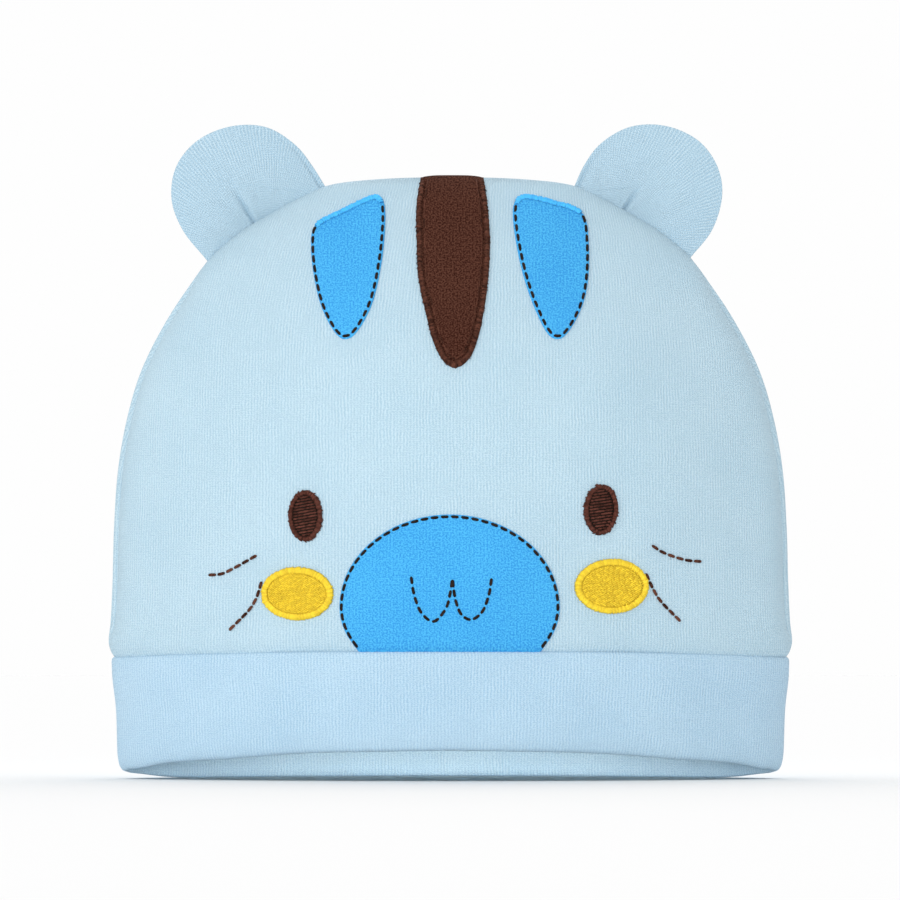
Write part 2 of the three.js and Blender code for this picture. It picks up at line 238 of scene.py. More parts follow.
def knit(name, colour, contrast=0.3, ribs=0.34, fuzz=3.0, grain=2.4, depth=0.09, sheen=0.08,
         gloss=0.15):
    """Jersey of this colour. Ribs and fuzz say how much each of them shows, and grain is in 1/mm."""
    finish = Finish(name)
    cloth, across, along = finish.cloth_map()
    wander = sum(finish.noise(cloth, scale) * shift for scale, shift in WANDERS)
    wales = (across + wander) / WALE
    from_middle = (wales - wales.math("FLOOR") - 0.5).math("ABSOLUTE")
    patchy = finish.noise(cloth, PATCHY_NOISE, 3.0)
    rib = wales.cosine() * -ribs * (1 + patchy * PATCHY_RIBS)
    course_wander = finish.noise(cloth, COURSE_NOISE) * COURSE_SHIFT
    legs = (along / COURSE + from_middle * LEG_SLANT + course_wander).cosine()
    stitch = legs * (ribs * STITCH_SHARE) * (1 - patchy * PATCHY_STITCHES)
    fibre = finish.noise(cloth, grain, 3.0) * fuzz
    height = rib + stitch + fibre * 0.5
    # The ribs and stitches paint shade into the hollows and a highlight onto the crests; the fuzz and the
    # clouds vary the tone at random.
    light = 0.5 + rib + stitch + fibre + finish.noise(cloth, CLOUD_NOISE, 3.0) * CLOUD_LIGHT
    shade = finish.mix(light.unit(), painted_light(colour, contrast), painted_light(colour, -contrast * 0.5))
    finish.shader.inputs["Sheen Weight"].default_value = sheen
    finish.shader.inputs["Sheen Roughness"].default_value = 0.5
    finish.shader.inputs["Specular IOR Level"].default_value = gloss
    return finish.surface(shade, 0.9 + fibre * 0.1, height, depth)


# %% [markdown]
# ## The embroidery thread's finish
# Embroidery thread is twisted. Each thread piece has a UV map with the turn round the thread and
# the distance along it, so a cosine of both gives the twist as slanting ridges. No two threads of
# a border catch the light alike: the map counts the threads in whole turns, and white noise gives
# each count its own brightness.

# %% Thread
TWIST, RIDGES = 0.9, 2       # the length of one ridge along the thread, and how many start round it
OWN_LIGHT, RIDGE_LIGHT, RIDGE_HEIGHT = 0.7, 0.12, 0.5
THREAD_FUZZ, THREAD_DEPTH = 1.3, 0.08


def thread(name, colour, contrast=0.4, fuzz=1.8, gloss=0.1):
    """Twisted thread of this colour."""
    finish = Finish(name)
    cloth, turn, along = finish.cloth_map()
    ridge = (along / TWIST + turn * RIDGES).cosine()
    count = turn.math("FLOOR")
    own = finish.value("ShaderNodeTexWhiteNoise", {"noise_dimensions": "1D"}, {"W": count}) - 0.5
    fibre = finish.noise(cloth, THREAD_FUZZ)
    light = 0.5 + own * OWN_LIGHT + ridge * RIDGE_LIGHT + fibre * fuzz
    dark = [c * (1 - contrast) for c in colour]
    bright = [min(1, c * (1 + contrast)) for c in colour]
    shade = finish.mix(light.unit(), dark, bright)
    finish.shader.inputs["Specular IOR Level"].default_value = gloss
    return finish.surface(shade, 0.6 + fibre * 0.2, ridge * RIDGE_HEIGHT + fibre, THREAD_DEPTH)


# %% [markdown]
# ## Colours
# The record names one slot for each cloth, with the colour that the cloth shows in daylight. The
# lamps below give the cap a little more light than that, so a finish takes a share of the
# record's colour.

# %% The finishes of this cap
SLOTS = {row["slot"]: row for row in frame["record"]["materials"]}
CLOTH_SHARE = 0.82


def slot_colour(slot, share=CLOTH_SHARE):
    """A share of the record's colour for this slot."""
    return [c * share for c in SLOTS[slot]["base_color"]]


BLACK = (0.016, 0.009, 0.006)
# A knit's contrast sets its painted shade in the hollows and its painted highlight on the crests.
FINISHES = {
    "jersey": knit("jersey", slot_colour("jersey")),
    "band_knit": knit("band_knit", slot_colour("band_knit", 0.88), ribs=0.3),
    # The ears are the same jersey as the crown. Their slot's colour is a little darker, which is painted
    # shade for ears that stand back and turn away from the lamps.
    "ear_knit": knit("ear_knit", slot_colour("ear_knit"), ribs=0.42, fuzz=2.0),
    "applique_blue": knit("applique_blue", slot_colour("applique_blue", 0.78), ribs=0.12, fuzz=4.5,
                          contrast=0.34, sheen=0),
    "applique_brown": knit("applique_brown", slot_colour("applique_brown", 0.8), ribs=0.1, fuzz=5.0,
                           contrast=1.75, depth=0.16, sheen=0, gloss=0.03),
    "applique_yellow": thread("applique_yellow", slot_colour("applique_yellow", 1.0), contrast=0.2,
                              fuzz=1),
    "embroidery_dark": thread("embroidery_dark", slot_colour("embroidery_dark", 1.3), contrast=0.5,
                              gloss=0.03),
    "blue_thread": thread("blue_thread", slot_colour("applique_blue", 0.98), contrast=0.12, fuzz=1),
    "brown_thread": thread("brown_thread", slot_colour("applique_brown"), contrast=0.7, gloss=0.03),
    "black_thread": thread("black_thread", BLACK, contrast=0.5),
}
print("finishes:", ", ".join(FINISHES))

# %% [markdown]
# ## Curves
# The sizes of the cap are short tables, and a smooth curve through each gives the form between
# the rows. The centripetal kind of curve doesn't overshoot where rows stand close together.

# %% Smooth curves through a table
CURVE_STEPS = 40


def smooth_curve(controls, closed=False):
    """Close points of a centripetal Catmull-Rom curve through the controls."""
    controls = np.asarray(controls, float)
    if closed:
        padded = np.vstack([controls[-1], controls, controls[:2]])
    else:
        before = 2 * controls[0] - controls[1]
        after = 2 * controls[-1] - controls[-2]
        padded = np.vstack([before, controls, after])
    share = np.linspace(0, 1, CURVE_STEPS, endpoint=False)[:, None]
    points = []
    for a, b, c, d in zip(padded, padded[1:], padded[2:], padded[3:]):
        first, middle, last = (np.linalg.norm(q - p) ** 0.5 for p, q in ((a, b), (b, c), (c, d)))
        leave = (b - a) / first - (c - a) / (first + middle) + (c - b) / middle
        arrive = (c - b) / middle - (d - b) / (middle + last) + (d - c) / last
        away = (2 * share**3 - 3 * share**2 + 1) * b + (share**3 - 2 * share**2 + share) * middle * leave
        near = (3 * share**2 - 2 * share**3) * c + (share**3 - share**2) * middle * arrive
        points.append(away + near)
    return np.vstack([*points, controls[:1] if closed else controls[-1:]])


class Line:
    """A curve kept as close points and read by the distance along it."""

    def __init__(self, points):
        self.points = np.asarray(points, float)
        steps = np.linalg.norm(np.diff(self.points, axis=0), axis=1)
        self.distance = np.concatenate([[0], np.cumsum(steps)])
        self.length = self.distance[-1]

    def at(self, distance):
        return np.stack([np.interp(distance, self.distance, c) for c in self.points.T], -1)

    def direction(self, distance, small=0.05):
        step = self.at(np.asarray(distance) + small) - self.at(np.asarray(distance) - small)
        return step / np.maximum(1e-9, np.linalg.norm(step, axis=-1, keepdims=True))


# %% [markdown]
# ## The crown's form
# Each level of the crown is a lens: half its width is read from the front, and its two bulges
# follow from how the ribs crowd towards the sides. The rows below are the same as in the CAD
# model. One function turns a place on a panel, given as a distance up its outline and a turn
# round its level, into a point.

# %% The crown's sizes
FRONT, BACK = -1, 1
EDGE_ROUNDNESS = 0.25
LEAN_BACK, MIDDLE_SHIFT = 6, 2.8
CROWN_FOOT, CROWN_TOP = 32.0, 156.0
CROWN_ROWS = [  # height, half width, front bulge, back bulge
    (CROWN_FOOT, 87.6, 36.4, 36.4),
    (36.0, 88.9, 37.6, 37.7),
    (41.0, 88.2, 38.3, 38.7),
    (50.0, 87.7, 39.0, 39.7),
    (65.0, 87.3, 39.7, 40.8),
    (80.0, 86.3, 39.5, 41.0),
    (93.0, 84.1, 38.1, 39.8),
    (105.5, 80.5, 35.5, 37.2),
    (118.0, 74.4, 31.5, 33.0),
    (127.4, 68.4, 27.3, 28.4),
    (134.3, 63.2, 23.5, 24.2),
    (141.5, 54.9, 18.8, 19.2),
    (147.0, 46.0, 14.2, 14.4),
    (150.3, 40.0, 10.9, 11.0),
    (153.8, 32.0, 6.0, 6.0),
    (155.4, 20.0, 3.0, 3.0),
]


def size_line(side):
    """Half width, bulge and height along one side of the outline, over the top and down."""
    right = [(width, front if side == FRONT else back, height) for height, width, front, back in CROWN_ROWS]
    left = [(-width, -depth, height) for width, depth, height in reversed(right)]
    return Line(smooth_curve([*right, (0, 0, CROWN_TOP), *left]))


SIZES = {side: size_line(side) for side in (FRONT, BACK)}
HALF_OUTLINE = {side: SIZES[side].length / 2 for side in SIZES}


def bulge(cosine):
    """One level's bulge, blunt at the side seams."""
    blunt = EDGE_ROUNDNESS**2
    return cosine * ((cosine**2 + blunt) / (1 + blunt)) ** 0.25


def distance_at_height(side, height):
    line = SIZES[side]
    rising = line.distance <= HALF_OUTLINE[side]
    return np.interp(height, line.points[rising, 2], line.distance[rising])


print("outline from foot to top in mm:", round(HALF_OUTLINE[FRONT], 1))

# %% [markdown]
# ## The seam
# Both panels are pulled in where they are sewn together, and below the ears the back panel rolls
# out beyond the seam, so from the front a fine dark line runs just inside the outline there. Every
# point of the crown near the seam is moved by how far it lies from it. A k-d tree finds the
# nearest seam point.

# %% Pulling the panels into their seam
SEAM_FORWARD, SEAM_REACH = 2.6, 15
SEAM_INSET, INSET_REACH = 1.3, 6
ROLL, ROLL_START, ROLL_REACH = 1.75, 1.0, 9
ROLL_FROM, ROLL_SOFTNESS = 66, 1.5       # half width at which the roll begins, below the ears
PUFF, PUFF_REACH = 0.35, 8               # the seam's allowance holds the edge up above the ears
BAND_HOLD = 6                            # how far above the band its own seam keeps the cloth flat
SEAM_SAMPLE = 0.25

outline = Line(SIZES[FRONT].points[:, (0, 2)])
seam_places = np.arange(0, outline.length, SEAM_SAMPLE)
seam_points = outline.at(seam_places)
seam_outward = outline.direction(seam_places)[:, ::-1] * (1, -1)
seam_tree = KDTree(len(seam_points))
for index, (x, z) in enumerate(seam_points):
    seam_tree.insert((x, 0, z), index)
seam_tree.balance()


def near(distance, reach):
    """1 at no distance, and almost nothing at twice the reach."""
    return np.exp(-((distance / reach) ** 2))


def nearest_seam(points):
    """How far each point is from the seam, and which way is outwards there."""
    found = [seam_tree.find(point) for point in points]
    distance = np.array([hit[2] for hit in found])
    flat = seam_outward[[hit[1] for hit in found]]
    return distance, np.stack([flat[:, 0], np.zeros(len(flat)), flat[:, 1]], -1)


def pull_in(points, side):
    """The points of a panel after sewing."""
    distance, outward = nearest_seam(points)
    below_ears = 1 / (1 + np.exp((ROLL_FROM - np.abs(points[:, 0])) / ROLL_SOFTNESS))
    over_band = 1 - near(points[:, 2] - CROWN_FOOT, BAND_HOLD)
    inset = SEAM_INSET * near(distance, INSET_REACH) * below_ears * over_band
    puff = PUFF * near(distance, PUFF_REACH) * (1 - below_ears)
    moved = points + outward * (puff - inset)[:, None]
    moved[:, 1] -= SEAM_FORWARD * near(distance, SEAM_REACH) * over_band
    if side == BACK:
        start = 1 - near(distance, ROLL_START)
        roll = ROLL * start * near(distance, ROLL_REACH) * over_band * below_ears
        moved += outward * roll[:, None]
    return moved, distance


print("the seam is", round(outline.length), "mm long from foot to foot")

# %% [markdown]
# ## Soft unevenness and the stance
# A washed cap is never quite even, so a few long waves move the cloth in and out by a fraction of
# a millimetre. They fade out at the seams. Last comes the stance: the cap leans back a little, its
# soft corners ride up, and the front of its rim is lifted in an arch, through which the inside of
# the back shows.

# %% Waves and stance
WAVES = [  # millimetres deep, across in mm, up in mm, phase
    (0.30, 41.0, 53.0, 0.4),
    (0.18, 23.0, -37.0, 1.9),
    (0.10, -13.0, 21.0, 3.1),
    (0.07, 9.0, 15.0, 5.2),
]
SEAM_HOLD = 10
RIM_LIFT = [  # distance from the middle, lift of the front rim, lift of the back rim
    (0.0, 7.8, 0.0),
    (39.0, 6.9, 0.0),
    (55.0, 5.6, 0.0),
    (73.0, 4.2, 0.2),
    (81.0, 2.7, 1.2),
    (90.0, 2.2, 2.2),
]
LIFT_FADE, SIDE_BLEND = 14, 6
SEAM_DROP, DROP_REACH = 1.1, 12      # the band's seam is lower at the sides
rim_lift = smooth_curve(RIM_LIFT)


def waves(x, z):
    return sum(d * np.sin(x / a * 2 + p) * np.cos(z / b * 2 + p) for d, a, b, p in WAVES)


def stand(points):
    """The points after the cap is set down."""
    stood = points.copy()
    front, back = (np.interp(np.abs(points[:, 0]), rim_lift[:, 0], rim_lift[:, i]) for i in (1, 2))
    share = np.clip(0.5 - points[:, 1] / SIDE_BLEND, 0, 1)
    stood[:, 2] += (back + (front - back) * share) * np.exp(-points[:, 2] / LIFT_FADE)
    drop = SEAM_DROP * (np.abs(points[:, 0]) / CROWN_ROWS[0][1]) ** 3
    stood[:, 2] -= drop * near(points[:, 2] - CROWN_FOOT, DROP_REACH)
    stood[:, 1] += LEAN_BACK * points[:, 2] / CROWN_TOP - MIDDLE_SHIFT
    return stood


print("the front of the rim is lifted by", RIM_LIFT[0][1], "mm")

# %% [markdown]
# ## A point on the crown
# Everything that lies on the cap asks one function where the cloth is. The function takes a point
# of the form, sews it, adds the waves, tucks the foot behind the band and sets it down. Patches
# could be shrinkwrapped onto the panel, but asking the same function is exact. The way the cloth
# faces comes from four places close by, and patches and threads are lifted that way.

# %% The crown's outer face
TUCK, TUCK_INSET, TUCK_REACH = 1.0, 1.3, 1.3
NORMAL_STEP, NARROWEST = 0.15, 8


def skin(side, distance, turn):
    """The outer face of a crown panel."""
    width, depth, height = SIZES[side].at(distance).T
    y = side * depth * bulge(np.cos(turn))
    points = np.stack([width * np.sin(turn), y, height], -1)
    moved, from_seam = pull_in(points, side)
    hold = 1 - near(from_seam, SEAM_HOLD)
    moved[:, 1] += side * hold * waves(points[:, 0] * side, points[:, 2])
    tucked = near(distance, TUCK_REACH)
    moved[:, 0] -= TUCK_INSET * tucked * np.sin(turn)
    moved[:, 1] -= side * TUCK_INSET * tucked * np.abs(np.cos(turn))
    moved[:, 2] -= TUCK * tucked
    return stand(moved)


def skin_normal(side, distance, turn):
    """Which way the outer face looks."""
    at = np.clip(distance, NORMAL_STEP, HALF_OUTLINE[side] - 4 * NORMAL_STEP)
    half_width = np.maximum(NARROWEST, np.abs(SIZES[side].at(at)[:, 0]))
    angle = NORMAL_STEP / half_width
    up = skin(side, at + NORMAL_STEP, turn) - skin(side, at - NORMAL_STEP, turn)
    along = skin(side, at, turn + angle) - skin(side, at, turn - angle)
    normal = np.cross(along, up) * -side
    return normal / np.maximum(1e-9, np.linalg.norm(normal, axis=1, keepdims=True))


def onto_front(x, z, offset):
    """The place on the front panel seen at x and z, moved out of the cloth by offset."""
    distance = distance_at_height(FRONT, z)
    half_width = np.maximum(1e-6, SIZES[FRONT].at(distance)[:, 0])
    turn = np.arcsin(np.clip(x / half_width, -1, 1))
    normal = skin_normal(FRONT, distance, turn)
    return skin(FRONT, distance, turn) + normal * np.reshape(offset, (-1, 1))


front_middle = onto_front(np.zeros(1), np.full(1, 50.0), 0)[0]
print("50 mm up, the front stands", round(-float(front_middle[1]), 1), "mm before the origin")

# %% [markdown]
# ## From a flat sheet to a sewn one
# A soft piece starts as a flat grid or disc made by one operator. Extruding it turns it into a
# closed slab: its upper face will be the outer face of the cloth, and its lower face the inner
# one. A function then moves every point to its place on the cap, and the same flat coordinates
# become the cloth's own map.

# %% Flat starts
def coordinates(mesh):
    return np.array([vertex.co for vertex in mesh.verts], float).reshape(-1, 3)


def move_to(mesh, points):
    for vertex, point in zip(mesh.verts, points):
        vertex.co = point


def write_map(mesh, cloth):
    """Writes the cloth's own coordinates, one pair for each vertex, into the UV map."""
    mesh.verts.index_update()
    layer = mesh.loops.layers.uv.verify()
    for face in mesh.faces:
        for loop in face.loops:
            loop[layer].uv = cloth[loop.vert.index]


def double(mesh):
    """Turns an open sheet into a slab whose lower face is at -1."""
    made = bmesh.ops.extrude_face_region(mesh, geom=mesh.faces[:])["geom"]
    lower = [item for item in made if isinstance(item, bmesh.types.BMVert)]
    bmesh.ops.translate(mesh, vec=(0, 0, -1), verts=lower)


def grid(columns, rows):
    """A flat sheet from 0 to 1 both ways."""
    mesh = bmesh.new()
    bmesh.ops.create_grid(mesh, x_segments=columns, y_segments=rows, size=0.5)
    bmesh.ops.translate(mesh, vec=(0.5, 0.5, 0), verts=mesh.verts)
    return mesh


def disc(around, rings):
    """A flat disc of radius 1, made by turning a line round its end."""
    mesh = bmesh.new()
    ends = [mesh.verts.new((x, 0, 0)) for x in (0, 1)]
    mesh.edges.new(ends)
    bmesh.ops.subdivide_edges(mesh, edges=mesh.edges[:], cuts=rings - 1)
    profile = mesh.verts[:] + mesh.edges[:]
    bmesh.ops.spin(mesh, geom=profile, axis=(0, 0, 1), angle=math.tau, steps=around, use_merge=True)
    bmesh.ops.remove_doubles(mesh, verts=mesh.verts, dist=1e-5)
    return mesh


# %% [markdown]
# ## From a mesh to a piece of the cap
# Every piece ends the same way, so one function does it. Points that meet are merged first, then
# the faces are turned to look outwards, and only then is the mesh scaled, which leaves the object
# itself at the origin with no scale of its own.

# %% Finishing a piece
def finish_piece(mesh, name, slot, finish=None, merge=1e-4):
    """Closes the mesh, scales it to metres, gives it its finish and lets it ride on the cap."""
    bmesh.ops.remove_doubles(mesh, verts=mesh.verts, dist=merge)
    bmesh.ops.recalc_face_normals(mesh, faces=mesh.faces)
    bmesh.ops.scale(mesh, vec=(MM, MM, MM), verts=mesh.verts)
    data = bpy.data.meshes.new(name)
    for face in mesh.faces:
        face.smooth = True
    mesh.to_mesh(data)
    mesh.free()
    if data.uv_layers:
        data.uv_layers[0].name = CLOTH_MAP
    data.materials.append(FINISHES[finish or slot])
    piece = add_object(name, data)
    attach(piece, "root")
    triangles = sum(len(polygon.vertices) - 2 for polygon in data.polygons)
    print(f"{name}: {triangles} triangles")
    return piece


# %% [markdown]
# ## How a panel is cut
# The wales run straight up a cut panel, so the map's first coordinate is the distance from the
# panel's middle, measured on the cloth at each level. The same measure, added up from level to
# level, gives the size that the flat panel was cut to.

# %% Measuring a panel
LEVEL_STEPS, STEPS_UP = 91, 200
PANEL_STEPS = {side: np.linspace(0, HALF_OUTLINE[side], STEPS_UP) for side in SIZES}


def level_lengths(side, distance, turn):
    """How far each point is from the panel's middle line, measured round its level."""
    turns = np.linspace(0, math.pi / 2, LEVEL_STEPS)
    result = np.zeros(len(turn))
    for level in np.unique(distance):
        width, depth, _ = SIZES[side].at(level)
        steps = np.hypot(np.diff(width * np.sin(turns)), np.diff(depth * bulge(np.cos(turns))))
        lengths = np.concatenate([[0], np.cumsum(steps)])
        row = distance == level
        result[row] = np.sign(turn[row]) * np.interp(np.abs(turn[row]), turns, lengths)
    return result


def middle_lengths(side):
    """The distance up a panel's middle line, at each of the panel's steps."""
    return Line(skin(side, PANEL_STEPS[side], np.zeros(len(PANEL_STEPS[side])))).distance


def panel_cut(side):
    """The flat panel: its greatest width, its length along the middle and its area, in mm."""
    side_turn = np.full(len(PANEL_STEPS[side]), math.pi / 2)
    width = 2 * level_lengths(side, PANEL_STEPS[side], side_turn)
    length = middle_lengths(side)
    area = np.sum((width[1:] + width[:-1]) / 2 * np.diff(length))
    return width.max(), length[-1], area


print("a panel's middle is", round(middle_lengths(FRONT)[-1]), "mm long from foot to top")

# %% [markdown]
# ## The crown panels
# Each panel is one sheet of jersey. Its grid has its columns closer together at the side seams
# and its rows closer together at the foot, where the cloth turns sharply. Under the top seam the
# wales draw together and lean a little, because the cloth is eased in there.

# %% The crown panels
JERSEY = 1.5
PANEL_COLUMNS, PANEL_ROWS = 190, 140
COLUMN_CROWDING, ROW_CROWDING = 0.2, 0.11
GATHER, SKEW, GATHER_FROM = 0.2, 4, 110


def crown_panel(name, side):
    mesh = grid(PANEL_COLUMNS, PANEL_ROWS)
    double(mesh)
    across, up, layer = coordinates(mesh).T
    centred = np.round(2 * across - 1, 9)
    turn = math.pi / 2 * ((1 - COLUMN_CROWDING) * centred + COLUMN_CROWDING * centred**5)
    share = up - ROW_CROWDING * np.sin(math.tau * up)
    distance = np.round(HALF_OUTLINE[side] * share, 9)
    outer = skin(side, distance, turn)
    inner = outer - skin_normal(side, distance, turn) * JERSEY
    height = SIZES[side].at(distance)[:, 2]
    gathered = np.clip((height - GATHER_FROM) / (CROWN_TOP - GATHER_FROM), 0, 1) ** 2
    wales = level_lengths(side, distance, turn) * (1 + GATHER * gathered) - SKEW * gathered
    write_map(mesh, np.stack([wales, distance], -1))
    move_to(mesh, np.where(layer[:, None] < -0.5, inner, outer))
    return finish_piece(mesh, name, "jersey")


for side, node in ((FRONT, "crown_front"), (BACK, "crown_back")):
    panel = crown_panel(f"{node}_cloth", side)
    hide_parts(node)
    width, length, area = panel_cut(side)
    print(f"{node} is cut {width:.0f} by {length:.0f} mm, {area / 100:.0f} square cm")

# %% [markdown]
# ## The band
# The band is one strip of jersey folded double, with the fold at the rim. Both its cut edges go
# into the crown's seam, and its outer layer stands a little proud there, in a crisp ridge. Two
# short tables hold its form: the lens that the band follows at each height, and the section
# across the folded strip.

# %% The band's sizes
BAND_TOP = 32.2
BAND_ROWS = [  # height, half width, half depth
    (0.0, 85.9, 34.6),
    (6.0, 86.5, 35.1),
    (18.0, 87.0, 35.7),
    (27.0, 87.9, 36.5),
    (BAND_TOP, 88.0, 36.8),
]
BAND_SECTION = [  # how far inside the outer face, height
    (1.6, BAND_TOP + 0.1),
    (0.8, BAND_TOP + 0.2),
    (0.25, BAND_TOP - 0.1),
    (0.0, BAND_TOP - 0.8),
    (0.0, BAND_TOP - 2.2),
    (0.0, 27.0),
    (0.0, 18.0),
    (0.0, 9.0),
    (0.0, 3.4),
    (0.35, 1.1),
    (1.1, 0.05),
    (2.1, 0.05),
    (2.85, 1.1),
    (3.2, 3.4),
    (3.2, 12.0),
    (3.2, 22.0),
    (3.2, BAND_TOP - 1.5),
    (2.6, BAND_TOP + 0.5),
]
STEPS_ROUND = 721

band_sizes = smooth_curve(BAND_ROWS)
band_section = Line(smooth_curve(BAND_SECTION))


def band_level(height, turn):
    """The outer face of the band at a height, before the stance."""
    width = np.interp(height, band_sizes[:, 0], band_sizes[:, 1])
    depth = np.interp(height, band_sizes[:, 0], band_sizes[:, 2])
    return np.stack([width * np.sin(turn), -depth * bulge(np.cos(turn))], -1)


def band_lengths(turn):
    """The distance round the band from its middle, in front or at the back."""
    turns = np.linspace(0, math.tau, STEPS_ROUND)
    line = Line(band_level(np.full(len(turns), BAND_TOP / 2), turns))
    return np.interp(turn, turns, line.distance)


# %% [markdown]
# ## Sweeping the band
# The loop could be a curve with a bevel, but a grid keeps the cloth's own coordinates: its columns
# go round the cap and its rows follow the section. Solidify then gives the strip its thickness,
# which leaves the two layers a hair apart. The strip's two ends meet at the back.

# %% The band
BAND_LAYER = 1.5
BAND_COLUMNS, BAND_SECTION_ROWS = 460, 85
BAND_WAVES = [(0.22, 17.0, 0.3), (0.14, 9.5, 1.7), (0.08, 5.3, 4.1)]     # depth, length, phase
WAVE_SPAN = 3            # almost half a turn from rim to seam, so the waves fade out at both
JOIN_SHARE = 0.01        # of the way round, near the strip's join, that the waves leave flat


def band_piece():
    mesh = grid(BAND_COLUMNS, BAND_SECTION_ROWS)
    across, up, _ = coordinates(mesh).T
    turn = across * math.tau + math.pi
    place = np.interp(up * (len(band_section.points) - 1), np.arange(len(band_section.points)),
                      band_section.distance)
    inset, height = band_section.at(place).T
    small = 1e-3
    flat = band_level(height, turn)
    tangent = band_level(height, turn + small) - band_level(height, turn - small)
    tangent /= np.linalg.norm(tangent, axis=1, keepdims=True)
    around = band_lengths(across * math.tau)
    flat_join = 1 - near(np.minimum(across, 1 - across), JOIN_SHARE)
    ripple = sum(d * np.sin(around / a + p) for d, a, p in BAND_WAVES)
    ripple *= np.sin(height / BAND_TOP * WAVE_SPAN) * flat_join
    inwards = inset - ripple
    flat[:, 0] -= inwards * tangent[:, 1]
    flat[:, 1] += inwards * tangent[:, 0]
    points = np.stack([flat[:, 0], flat[:, 1], height], -1)
    write_map(mesh, np.stack([around, place], -1))
    move_to(mesh, stand(points))
    bmesh.ops.remove_doubles(mesh, verts=mesh.verts, dist=1e-3)
    bmesh.ops.recalc_face_normals(mesh, faces=mesh.faces)
    bmesh.ops.solidify(mesh, geom=mesh.faces[:], thickness=BAND_LAYER)
    return finish_piece(mesh, "band_cloth", "band_knit")


band = band_piece()
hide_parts("band")

# %% [markdown]
# ## The ears
# An ear is two round layers of jersey sewn together, turned and filled loosely, then pleated once
# and caught in the top seam. The two ears were sewn by hand and differ a little, so each has its
# own outline, centre and pleat, seen from the front. The outline runs from the inner end at the
# top seam over the ear to the outer end. Between the two ends the ear is closed along the seam,
# sunk a little behind the crown.

# %% The ears' outlines
EARS = {
    "left": {
        "centre": (-55.5, 154.5),
        "pleat_foot": (-50.9, 144.2),
        "pleat_top": (-55.7, 152.5),
        "outline": [(-32.3, 153.7), (-36.0, 159.6), (-40.1, 164.7), (-47.8, 169.5), (-57.0, 169.8),
                    (-66.0, 166.0), (-71.5, 159.2), (-72.7, 150.5), (-69.7, 142.4), (-64.0, 135.3)],
    },
    "right": {
        "centre": (54.0, 154.5),
        "pleat_foot": (45.1, 147.8),
        "pleat_top": (48.6, 152.9),
        "outline": [(32.2, 154.1), (34.6, 159.3), (38.8, 165.0), (46.7, 169.6), (56.0, 169.9),
                    (64.8, 165.9), (69.6, 159.3), (70.9, 152.0), (68.3, 142.7), (62.8, 135.6)],
    },
}
EAR_SUNK, EAR_TAIL, SEWN_STEPS = 1.6, 2.2, 60


def ear_edge(ear):
    """The ear's closed outline. Its two ends and its sewn stretch are hidden behind the crown."""
    inner, outer = (np.array(ear["outline"][i]) for i in (0, -1))
    side = math.copysign(1, inner[0])
    ends = []
    for end, next_point in ((inner, ear["outline"][1]), (outer, ear["outline"][-2])):
        onwards = end - next_point
        ends.append(end + onwards / np.hypot(*onwards) * EAR_TAIL)
    free_line = Line(smooth_curve([ends[0], *ear["outline"], ends[1]]))
    first, last = distance_at_height(FRONT, outer[1]), distance_at_height(FRONT, inner[1])
    places = np.linspace(first + EAR_TAIL, last - EAR_TAIL, SEWN_STEPS)
    sunk = SEAM_INSET + EAR_SUNK
    sewn = outline.at(places) - outline.direction(places)[:, ::-1] * (1, -1) * sunk
    sewn[:, 0] *= side
    return Line(np.vstack([free_line.points, sewn, free_line.points[:1]]))


print({side: round(ear_edge(ear).length) for side, ear in EARS.items()}, "mm round each ear")

# %% [markdown]
# ## Blowing an ear up
# A cloth simulation gives such a pad its crown: two flat layers are blown up by a little pressure,
# with their seam held, because the real seam is stiff enough to keep the ear's round outline.
# Cloth settings suit objects of some tens of centimetres, so the ear is simulated ten times its
# size. The layers are coarse while they are simulated, and are split and smoothed afterwards.

# %% The ears' simulation
EAR_FRAMES, EAR_SCALE = 20, 10
EAR_CLOTH = {
    "quality": 6,
    "mass": 0.1,
    "tension_stiffness": 8,
    "compression_stiffness": 8,
    "shear_stiffness": 4,
    "bending_stiffness": 0.3,
    "use_pressure": True,
    "uniform_pressure_force": 5.0,
}


def simulate(mesh, pinned):
    """Blows a closed mesh up as cloth with some vertices held, and returns its new points."""
    data = bpy.data.meshes.new("ear_trial")
    mesh.to_mesh(data)
    data.transform(Matrix.Scale(MM * EAR_SCALE, 4))
    trial = add_object("ear_trial", data)
    trial.vertex_groups.new(name="held").add(pinned, 1.0, "REPLACE")
    cloth = trial.modifiers.new("cloth", "CLOTH").settings
    for setting, value in EAR_CLOTH.items():
        setattr(cloth, setting, value)
    cloth.vertex_group_mass = "held"
    cloth.effector_weights.gravity = 0
    for number in range(1, EAR_FRAMES + 1):
        bpy.context.scene.frame_set(number)
    solved = trial.evaluated_get(bpy.context.evaluated_depsgraph_get())
    points = np.array([vertex.co for vertex in solved.data.vertices]) / (MM * EAR_SCALE)
    bpy.data.objects.remove(trial)
    bpy.context.scene.frame_set(1)
    return points


def subdivided(mesh):
    """The mesh with each face split in four and smoothed."""
    data = bpy.data.meshes.new("ear_trial")
    mesh.to_mesh(data)
    mesh.free()
    trial = add_object("ear_trial", data)
    smooth = trial.modifiers.new("smooth", "SUBSURF")
    smooth.levels = smooth.render_levels = 1
    fine = bmesh.new()
    fine.from_mesh(trial.evaluated_get(bpy.context.evaluated_depsgraph_get()).data)
    bpy.data.objects.remove(trial)
    return fine


# %% [markdown]
# ## The pleat and the wales of an ear
# The pleat is a short fold that starts at the top seam, points into the ear and opens as it goes.
# It is pressed into the front layer after the simulation: a crease that gets wider and shallower
# towards its end, with a low lip on each side. The rim's seam shows as a fine line for a short way
# from the inner end. Because the pleat gathers the cloth at its foot, the wales fan out from there.

